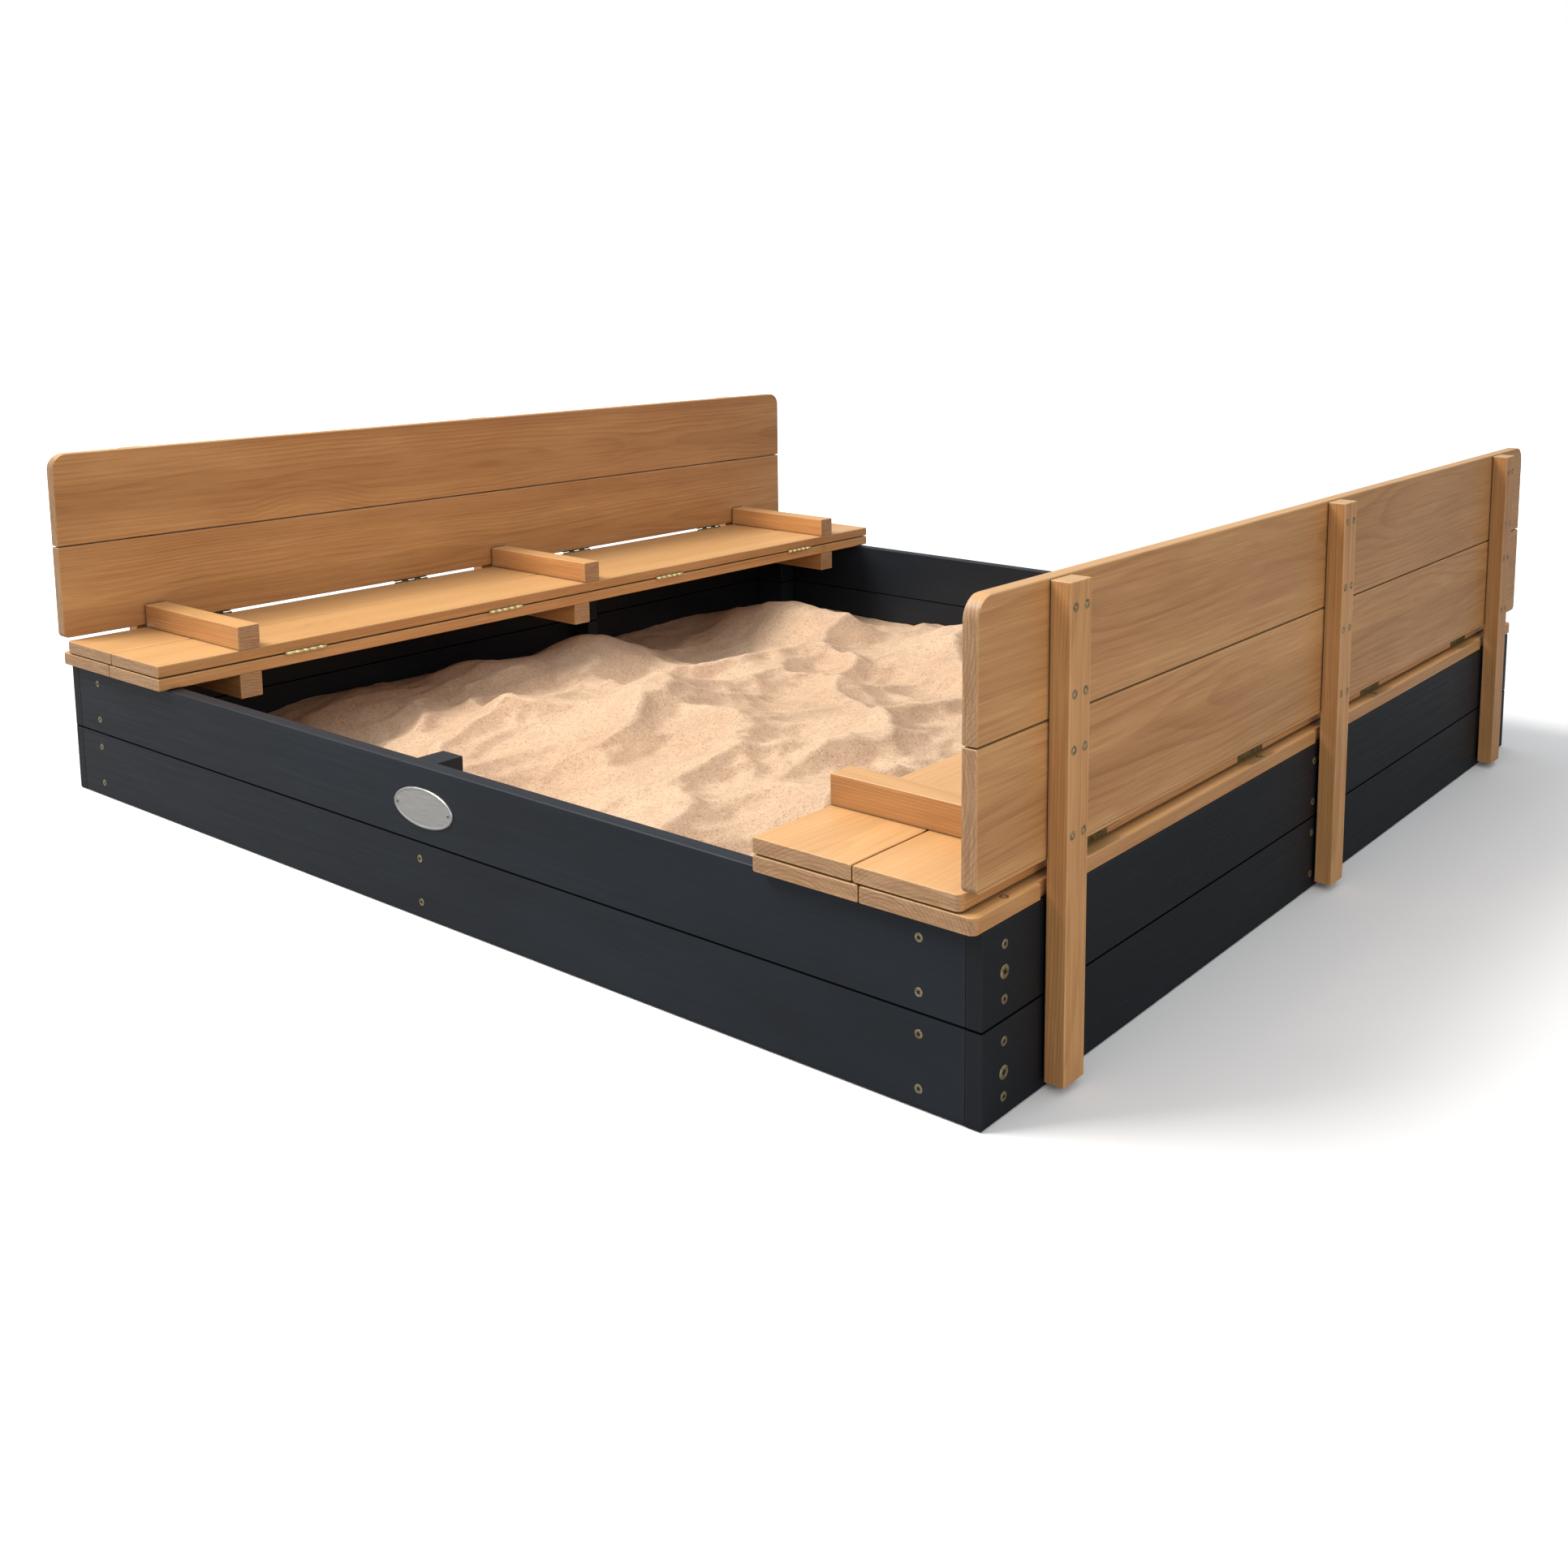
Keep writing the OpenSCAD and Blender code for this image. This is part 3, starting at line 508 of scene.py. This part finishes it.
def dress(node, material, smooth=None, bevel=0.0):
    """Gives a CAD node its material; smooth is the sharpest angle still shaded round.

    bevel breaks the sharp edges by that many metres.
    """
    piece = nodes[node]
    piece.data.materials.clear()
    piece.data.materials.append(material)
    if smooth is None:
        return
    piece.data.shade_smooth()
    weld = piece.modifiers.new("joined_faces", "WELD")
    weld.merge_threshold = WELD_REACH
    merged = piece.modifiers.new("merged_faces", "DECIMATE")
    merged.decimate_type = "DISSOLVE"
    merged.angle_limit = math.radians(FLAT_ANGLE)
    if bevel > 0:
        broken = piece.modifiers.new("broken_edges", "BEVEL")
        broken.width = bevel
        broken.segments = 2
        broken.limit_method = "ANGLE"
        broken.angle_limit = math.radians(smooth)
    else:
        piece.data.set_sharp_from_angle(angle=math.radians(smooth))
    flat = piece.modifiers.new("flat_faces", "WEIGHTED_NORMAL")
    flat.keep_sharp = True
    flat.weight = 100


screw_metal = worn_metal("screw_metal", linear(196, 182, 142), linear(128, 108, 76), 0.36)
hinge_metal = worn_metal(
    "hinge_metal", linear(255, 247, 196), linear(240, 228, 164), 0.3, 0.6, 0.08)
dull_hinge_metal = worn_metal("dull_hinge_metal", linear(140, 124, 80), linear(92, 80, 52), 0.45)
rivet_metal = worn_metal("rivet_metal", linear(150, 150, 150), linear(96, 96, 98), 0.3)
plate_metal = brushed_plate()
sheet_fabric = woven_sheet()
sand_grains = loose_sand()

for name in nodes:
    if name.startswith(("front_board_", "back_board_")):
        dress(name, painted_timber(name, "X"), SMOOTH, TIMBER_BEVEL)
    elif "_board_" in name:
        # painted shade: the side walls are darker than the others, as if in the shade of the benches
        dress(name, painted_timber(name, "Y", 0.55), SMOOTH, TIMBER_BEVEL)
    elif name.endswith("_posts"):
        dress(name, painted_timber(name, "Z", 1.1), SMOOTH, TIMBER_BEVEL)
    elif "_back_hinge_" in name:
        dress(name, dull_hinge_metal, SMOOTH)
    elif "_seat_hinge_" in name:
        dress(name, hinge_metal, SMOOTH)
    elif name.endswith("back_battens"):
        # the battens' faces along Y get painted shade
        dress(name, stained_timber(name, "Z", 0.95, 0.85), SMOOTH, TIMBER_BEVEL)
    elif name.endswith(("_cleats", "_battens")):
        dress(name, stained_timber(name, "X"), SMOOTH, TIMBER_BEVEL)
    elif "_back_" in name and name.endswith("_plank"):
        dress(name, stained_timber(name, "upright_Y", 0.9), SMOOTH, PLANK_BEVEL)
    elif name.endswith("_plank"):
        dress(name, stained_timber(name, "Y"), SMOOTH, PLANK_BEVEL)
dress("name_plate_rivets", rivet_metal, SMOOTH)
dress("ground_sheet", sheet_fabric)


# ---------- new pieces ----------

def new_piece(name, vertices, faces, material, node, smooth):
    """Finer mesh that takes the place of a CAD node and rides on that node's body."""
    mesh = bpy.data.meshes.new(name)
    mesh.from_pydata(vertices, [], faces)
    mesh.validate()
    mesh.shade_smooth()
    mesh.set_sharp_from_angle(angle=math.radians(smooth))
    mesh.materials.append(material)
    piece = bpy.data.objects.new(name, mesh)
    bpy.context.scene.collection.objects.link(piece)
    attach(piece, body_of_node[node])
    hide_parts(node)


def islands(mesh):
    """Vertex positions of each separate solid of a mesh; vertices at one place count as one."""
    places = np.array([vertex.co for vertex in mesh.vertices])
    _, welded = np.unique(np.round(places, 5), axis=0, return_inverse=True)
    welded = welded.reshape(-1)
    parent = list(range(welded.max() + 1))

    def root(item):
        while parent[item] != item:
            parent[item] = parent[parent[item]]
            item = parent[item]
        return item

    for edge in mesh.edges:
        first, second = root(welded[edge.vertices[0]]), root(welded[edge.vertices[1]])
        if first != second:
            parent[first] = second
    groups = {}
    for vertex, place in enumerate(places):
        groups.setdefault(root(welded[vertex]), []).append(place)
    return [np.array(points) for points in groups.values()]


RECESS_LOBES = 6
FASTENER_SIDES = 36
BOLT_RADIUS = 0.0055  # fasteners with a wider head are bolts
HEAD_BAND = 0.002  # metres from each end within which the fastener's width is measured
TURN_STEP = 0.7351  # radians between the recesses of one fastener and the next


def fastener_mesh(points, turn):
    """Domed head with a lobed driver recess and a tapered shank, fitted to one CAD fastener."""
    low, high = points.min(axis=0), points.max(axis=0)
    size = high - low
    axis = int(np.argmax(size))
    middle = (low + high) / 2
    across = np.delete(points, axis, axis=1) - np.delete(middle, axis)
    reach = np.hypot(across[:, 0], across[:, 1])
    near_high = reach[points[:, axis] > high[axis] - HEAD_BAND].max()
    near_low = reach[points[:, axis] < low[axis] + HEAD_BAND].max()
    outward = 1.0 if near_high > near_low else -1.0
    top = high[axis] if outward > 0 else low[axis]
    radius = reach.max()
    length = size[axis]
    # share of the radius taken by the shank, and rise of the head's middle over its rim
    shank, dome = (0.42, 0.00056) if radius > BOLT_RADIUS else (0.5, 0.00014)
    recess_depth = 0.0011
    # from the middle of the recess outwards and down to the tip:
    # share of the radius, depth under the top in metres, depth of the lobes
    rings = [
        (0.3, recess_depth, 0.24), (0.42, 0.0009, 0.22), (0.46, 0.0001, 0.2),
        (0.62, 0.00002, 0.06), (0.8, dome * 0.35, 0.0), (0.93, dome * 0.8, 0.0),
        (1.0, dome + 0.00025, 0.0), (0.98, dome + 0.0005, 0.0),
        (shank, 0.0032, 0.0), (shank * 0.9, length * 0.7, 0.0), (0.12, length, 0.0)]
    first, second = [number for number in range(3) if number != axis]
    vertices, faces = [], []
    for share, depth, lobe in rings:
        for step in range(FASTENER_SIDES):
            angle = 2 * math.pi * step / FASTENER_SIDES
            wide = share * radius * (1 + lobe * math.cos(RECESS_LOBES * angle))
            place = [0.0, 0.0, 0.0]
            place[axis] = top - outward * depth
            place[first] = middle[first] + wide * math.cos(angle + turn)
            place[second] = middle[second] + wide * math.sin(angle + turn)
            vertices.append(tuple(place))
    hub = list(middle)
    hub[axis] = top - outward * recess_depth
    tip = list(middle)
    tip[axis] = top - outward * (length + 0.0005)
    vertices += [tuple(hub), tuple(tip)]
    hub_number, tip_number = len(vertices) - 2, len(vertices) - 1
    last = (len(rings) - 1) * FASTENER_SIDES
    for step in range(FASTENER_SIDES):
        after = (step + 1) % FASTENER_SIDES
        faces.append((hub_number, step, after))
        faces.append((tip_number, last + after, last + step))
        for row in range(0, last, FASTENER_SIDES):
            next_row = row + FASTENER_SIDES
            faces.append((row + step, next_row + step, next_row + after, row + after))
    # the faces look inward when the head points down, and the other way round along Y
    if (outward < 0) != (axis == 1):
        faces = [tuple(reversed(face)) for face in faces]
    return vertices, faces


def fasteners(node):
    """Detailed screws or bolts in place of a CAD node of fasteners."""
    vertices, faces = [], []
    for number, points in enumerate(islands(nodes[node].data)):
        turn = (number * TURN_STEP + zlib.crc32(node.encode()) % 7) % math.pi
        more_vertices, more_faces = fastener_mesh(points, turn)
        start = len(vertices)
        vertices += more_vertices
        faces += [tuple(start + corner for corner in face) for face in more_faces]
    new_piece(f"{node}_detailed", vertices, faces, screw_metal, node, smooth=35)


for name in nodes:
    if name.endswith(("_screws", "_bolts")):
        fasteners(name)


PLATE_SIDES = 128
PLATE_CROWN = 0.00164  # height of the plate's middle over its back face
# rings of the plate from its outline inwards: distance in from the outline, share of the
# half axes left there, height over the back face; lengths in metres
PLATE_RINGS = [
    (0.0, 1, 0.0), (0.0, 1, 0.0009), (0.0006, 1, 0.0017), (0.0016, 1, 0.0022),
    (0.0026, 1, 0.00205), (0.0034, 1, 0.0014), (0.0042, 1, 0.0012), (0.0052, 1, 0.0014),
    (0.0062, 1, 0.00148), (0.012, 1, 0.00152), (0.018, 1, 0.00156), (0.018, 0.5, 0.0016),
    (0.018, 0.2, 0.00163)]


def plate_mesh():
    """Oval plate with a rolled rim, a groove inside it and a slightly domed middle."""
    low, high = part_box("name_plate")
    middle = (low + high) / 2
    half = (high - low) / 2
    back = high.y
    vertices, faces = [], []
    for inset, share, height in PLATE_RINGS:
        for step in range(PLATE_SIDES):
            angle = 2 * math.pi * step / PLATE_SIDES
            vertices.append((middle.x + (half.x - inset) * share * math.cos(angle), back - height,
                             middle.z + (half.z - inset) * share * math.sin(angle)))
    vertices += [(middle.x, back - PLATE_CROWN, middle.z), (middle.x, back, middle.z)]
    crown_number, back_number = len(vertices) - 2, len(vertices) - 1
    last = (len(PLATE_RINGS) - 1) * PLATE_SIDES
    for step in range(PLATE_SIDES):
        after = (step + 1) % PLATE_SIDES
        faces.append((back_number, after, step))
        faces.append((crown_number, last + step, last + after))
        for row in range(0, last, PLATE_SIDES):
            next_row = row + PLATE_SIDES
            faces.append((row + step, row + after, next_row + after, next_row + step))
    return vertices, faces


new_piece("name_plate_rolled", *plate_mesh(), plate_metal, "name_plate", smooth=50)


# ---------- sand ----------

# lengths in metres unless something else is said
SAND_LEVEL = 0.042  # at the walls
SAND_LOWEST = 0.012
SAND_CREST = 0.148  # the folding cleats pass above this
SAND_CELL = 0.006
# mounds of sand as X, Y, height, half length along X and along Y, in millimetres
MOUNDS = [
    (-637, 35, 76, 119, 118), (-559, 512, 73, 195, 94), (-667, -172, 57, 154, 97),
    (-698, -378, 42, 184, 113), (-121, -83, 57, 329, 246), (-195, 585, 49, 134, 182),
    (150, -420, 60, 300, 230), (350, 150, 50, 260, 260), (-330, -332, 43, 219, 193),
    (480, -200, 30, 250, 300), (-394, 204, 27, 141, 117)]
# depth of the scoops, their spacing, the scooped value that leaves the height as it is, seed
LARGE_SCOOPS = (0.050, 0.165, 0.36, 11)
SMALL_SCOOPS = (0.009, 0.08, 0.4, 31)
SCATTERED_SCOOPS = (0.006, 0.05, 0.4, 51)
SCATTERED_SIZE = 0.22  # of the patches that have the scattered scoops
SCOOP_SHARPNESS = 52.0  # of the crests between the scoops
SCOOP_AREA = (0.95, 0.85)  # from the middle to the sides, a little wider than the sand
# height and size of the small lumps, and size of the patches that have more or fewer of them
LUMP_HEIGHT = 0.009
LUMP_SIZE = 0.06
LUMP_PATCH_SIZE = 0.3
CRUMB_HEIGHT = 0.0022
CRUMB_SIZE = 0.024
# the sand is dug less near the left and the back wall
CALM_WALL = 0.82
CALM_WALL_REACH = 0.3
LEAST_DIGGING = 0.15
# places of the two high mounds that are hardly dug at all
CALM_PEAKS = [(-0.637, 0.035), (-0.559, 0.48)]
CALM_PEAK_REACH = 0.15
CALM_PEAK_SHARE = 0.85
NOISE_TABLE = 64
NOISE_ORIGIN = 1000  # cells; keeps every place on the positive side of the table


def smooth_noise(x, y, size, seed):
    """Gradient noise between about -0.7 and 0.7 with blobs of the given size in metres."""
    turns = np.random.default_rng(seed).uniform(0, 2 * np.pi, (NOISE_TABLE, NOISE_TABLE))
    u, v = x / size + NOISE_ORIGIN, y / size + NOISE_ORIGIN
    i, j = np.floor(u).astype(int), np.floor(v).astype(int)
    fu, fv = u - i, v - j

    def corner(di, dj):
        turn = turns[(i + di) % NOISE_TABLE, (j + dj) % NOISE_TABLE]
        return np.cos(turn) * (fu - di) + np.sin(turn) * (fv - dj)

    def ease(t):
        return t * t * t * (t * (t * 6 - 15) + 10)

    along = ease(fu)
    low = corner(0, 0) * (1 - along) + corner(1, 0) * along
    high = corner(0, 1) * (1 - along) + corner(1, 1) * along
    return low * (1 - ease(fv)) + high * ease(fv)


def wandering(x, y, seed):
    """Offset in metres that makes the scoops irregular."""
    return 0.05 * smooth_noise(x, y, 0.21, seed) + 0.014 * smooth_noise(x, y, 0.07, seed + 1)


def scooped(x, y, depth, spacing, level, seed):
    """Change of height by hollows dug side by side, which leave crests between them."""
    draw = np.random.default_rng(seed)
    warp_x = x + wandering(x, y, seed + 1)
    warp_y = y + wandering(x, y, seed + 3)
    total = np.zeros_like(x)
    reach_x, reach_y = SCOOP_AREA
    for centre_x in np.arange(-reach_x, reach_x + 0.01, spacing):
        for centre_y in np.arange(-reach_y, reach_y + 0.01, spacing):
            # each scoop has its own place, turn, size and depth
            shift_x, shift_y = draw.uniform(-0.45, 0.45, 2) * spacing
            turn = draw.uniform(-0.35, 1.05)
            wide, long = draw.uniform(0.6, 0.95) * spacing, draw.uniform(0.9, 1.5) * spacing
            rise = draw.uniform(0.0, 0.4)
            dx, dy = warp_x - centre_x - shift_x, warp_y - centre_y - shift_y
            a = (dx * np.cos(turn) + dy * np.sin(turn)) / wide
            b = (dy * np.cos(turn) - dx * np.sin(turn)) / long
            total += np.exp(-SCOOP_SHARPNESS * np.minimum(rise + a * a + b * b, 6.0))
    # 0 at the bottoms of the scoops, up to 1 on the crests; the tiny term avoids the log of 0
    value = np.clip(-np.log(total + 1e-30) / SCOOP_SHARPNESS, 0, 1)
    return depth * (value - level)


def sand_height(x, y):
    """Height of the sand in metres over arrays of places."""
    height = np.full_like(x, SAND_LEVEL)
    for mound_x, mound_y, mound_z, along_x, along_y in MOUNDS:
        height += mound_z / 1000 * np.exp(
            -((x * 1000 - mound_x) / along_x) ** 2 - ((y * 1000 - mound_y) / along_y) ** 2)
    digging = np.clip((x + CALM_WALL) / CALM_WALL_REACH, LEAST_DIGGING, 1.0)
    digging *= np.clip((CALM_WALL - y) / CALM_WALL_REACH, LEAST_DIGGING, 1.0)
    for peak_x, peak_y in CALM_PEAKS:
        from_peak = np.hypot(x - peak_x, y - peak_y) / CALM_PEAK_REACH
        digging *= 1 - CALM_PEAK_SHARE * np.exp(-from_peak ** 2)
    height += digging * scooped(x, y, *LARGE_SCOOPS)
    height += (0.3 + 0.7 * digging) * scooped(x, y, *SMALL_SCOOPS)
    lumps = smooth_noise(x, y, LUMP_SIZE, 5) * smooth_noise(x, y, LUMP_PATCH_SIZE, 6)
    height += LUMP_HEIGHT * lumps + CRUMB_HEIGHT * smooth_noise(x, y, CRUMB_SIZE, 7)
    scattered = np.clip(smooth_noise(x, y, SCATTERED_SIZE, 8) * 3, 0, 1)
    height += scattered * scooped(x, y, *SCATTERED_SCOOPS)
    return np.clip(height, SAND_LOWEST, SAND_CREST)


def sand_mesh():
    """Closed block of sand between the walls with a finely modelled top."""
    low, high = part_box("sand")
    count_x = round((high.x - low.x) / SAND_CELL)
    count_y = round((high.y - low.y) / SAND_CELL)
    x, y = np.meshgrid(np.linspace(low.x, high.x, count_x + 1),
                       np.linspace(low.y, high.y, count_y + 1), indexing="ij")
    top = np.stack([x, y, sand_height(x, y)], axis=-1).reshape(-1, 3)
    row = count_y + 1
    vertices = [tuple(point) for point in top]
    faces = [(i * row + j, (i + 1) * row + j, (i + 1) * row + j + 1, i * row + j + 1)
             for i in range(count_x) for j in range(count_y)]
    rim = [i * row for i in range(count_x)]
    rim += [count_x * row + j for j in range(count_y)]
    rim += [i * row + count_y for i in range(count_x, 0, -1)]
    rim += [j for j in range(count_y, 0, -1)]
    base = len(vertices)
    vertices += [(vertices[corner][0], vertices[corner][1], low.z) for corner in rim]
    for step, corner in enumerate(rim):
        after = (step + 1) % len(rim)
        faces.append((corner, base + step, base + after, rim[after]))
    faces.append(tuple(base + step for step in reversed(range(len(rim)))))
    return vertices, faces


new_piece("sand_heaped", *sand_mesh(), sand_grains, "sand", smooth=80)


# ---------- stage ----------

FLOOR_REACH = 20.0  # metres from the middle to each side
FLOOR_HEIGHT = -0.001
FLOOR_FADE = (1.4, 4.0)  # metres from the middle where the floor turns white
FLOOR_SEEN = (0.86, 0.86, 0.86, 1)
FLOOR_BOUNCE = (0.3, 0.3, 0.3, 1)
WHITE = (1, 1, 1, 1)
SKY_COLOUR = (0.94, 0.97, 1.0, 1)
SKY_ZENITH = 1.0
SKY_HORIZON = 0.3

floor_mesh = bpy.data.meshes.new("floor")
floor_mesh.from_pydata(
    [(x * FLOOR_REACH, y * FLOOR_REACH, FLOOR_HEIGHT) for x, y in ((-1, -1), (1, -1), (1, 1), (-1, 1))],
    [], [(0, 1, 2, 3)])
floor = bpy.data.objects.new("floor", floor_mesh)
bpy.context.scene.collection.objects.link(floor)
floor_material, floor_graph, floor_shader, _ = new_material("pale_floor")
# pale to the camera, darker to the light it throws back on the object
seen_floor = floor_graph.add("ShaderNodeLightPath").outputs["Is Camera Ray"]
floor_colour = floor_graph.mix(seen_floor, FLOOR_BOUNCE, FLOOR_SEEN)
floor_graph.put(floor_shader.inputs["Base Color"], floor_colour)
# away from the object the camera sees the floor run into the white studio
floor_place = floor_graph.add("ShaderNodeNewGeometry").outputs["Position"]
from_middle = floor_graph.add("ShaderNodeVectorMath", {0: floor_place}, operation="LENGTH")
fade = floor_graph.remap(from_middle.outputs["Value"], *FLOOR_FADE, 0.0, 1.0, True)
glow = floor_graph.math("MULTIPLY", fade, seen_floor)
floor_graph.put(floor_shader.inputs["Emission Color"], WHITE)
floor_graph.put(floor_shader.inputs["Emission Strength"], glow)
floor_shader.inputs["Roughness"].default_value = 0.9
floor_mesh.materials.append(floor_material)

# the camera sees a white studio; the light comes mostly from overhead
world = bpy.data.worlds.new("studio")
bpy.context.scene.world = world
world.use_nodes = True
world.node_tree.nodes.clear()
sky = Graph(world.node_tree)
direction = sky.add("ShaderNodeTexCoord").outputs["Generated"]
upward = sky.math("MAXIMUM", sky.split(direction)[2], 0.0)
strength = sky.math("MULTIPLY_ADD", upward, SKY_ZENITH - SKY_HORIZON, SKY_HORIZON)
lighting = sky.add("ShaderNodeBackground", {0: SKY_COLOUR, 1: strength})
seen_sky = sky.add("ShaderNodeBackground", {0: WHITE, 1: 1.0})
chosen = sky.add("ShaderNodeMixShader", {
    0: sky.add("ShaderNodeLightPath").outputs["Is Camera Ray"],
    1: lighting.outputs[0], 2: seen_sky.outputs[0]})
sky.add("ShaderNodeOutputWorld", {0: chosen.outputs[0]})


def softbox(name, place, target, size, power, colour):
    """Square area light at a place, aimed at a target; size in metres, power in watts."""
    light = bpy.data.lights.new(name, "AREA")
    light.shape = "SQUARE"
    light.size = size
    light.energy = power
    light.color = colour
    lamp = bpy.data.objects.new(name, light)
    bpy.context.scene.collection.objects.link(lamp)
    lamp.location = place
    lamp.rotation_euler = (Vector(target) - Vector(place)).to_track_quat("-Z", "Y").to_euler()


softbox("key_light", (-2.9, -3.2, 5.8), (0, 0, 0.1), 3.0, 525, (1.0, 0.955, 0.9))
softbox("fill_light", (3.5, -2.3, 1.5), (0.9, -0.3, 0.3), 2.0, 46, (1.0, 0.97, 0.93))

# camera of the reference view: place in metres, angles in radians, lens and sensor in
# millimetres, lens offset as a share of the picture
CAMERA_PLACE = (1.6979, -1.9322, 0.8184)
CAMERA_YAW = 0.6002
CAMERA_PITCH = -0.1401
CAMERA_ROLL = 0.0108
CAMERA_LENS = 36.64
CAMERA_SHIFT = (-0.1514, -0.1857)
CAMERA_CLIP = 200  # metres
# the height of the sensor sets the picture; its narrow width only makes other views stand
# further back, so that the lens offset leaves the whole object in them
SENSOR_HEIGHT = 36.0
SENSOR_WIDTH = 25.5

camera_data = bpy.data.cameras.new("camera")
camera_data.sensor_fit = "VERTICAL"
camera_data.sensor_height = SENSOR_HEIGHT
camera_data.sensor_width = SENSOR_WIDTH
camera_data.lens = CAMERA_LENS
camera_data.shift_x, camera_data.shift_y = CAMERA_SHIFT
camera_data.clip_end = CAMERA_CLIP
camera = bpy.data.objects.new("camera", camera_data)
bpy.context.scene.collection.objects.link(camera)
forward = Vector((-math.sin(CAMERA_YAW) * math.cos(CAMERA_PITCH),
                  math.cos(CAMERA_YAW) * math.cos(CAMERA_PITCH), math.sin(CAMERA_PITCH)))
level = Vector((math.cos(CAMERA_YAW), math.sin(CAMERA_YAW), 0))
above = level.cross(forward)
right = level * math.cos(CAMERA_ROLL) + above * math.sin(CAMERA_ROLL)
top = above * math.cos(CAMERA_ROLL) - level * math.sin(CAMERA_ROLL)
turned = Matrix((right, top, -forward)).transposed()
camera.matrix_world = Matrix.Translation(CAMERA_PLACE) @ turned.to_4x4()
bpy.context.scene.camera = camera
bpy.context.scene.view_settings.view_transform = "Standard"
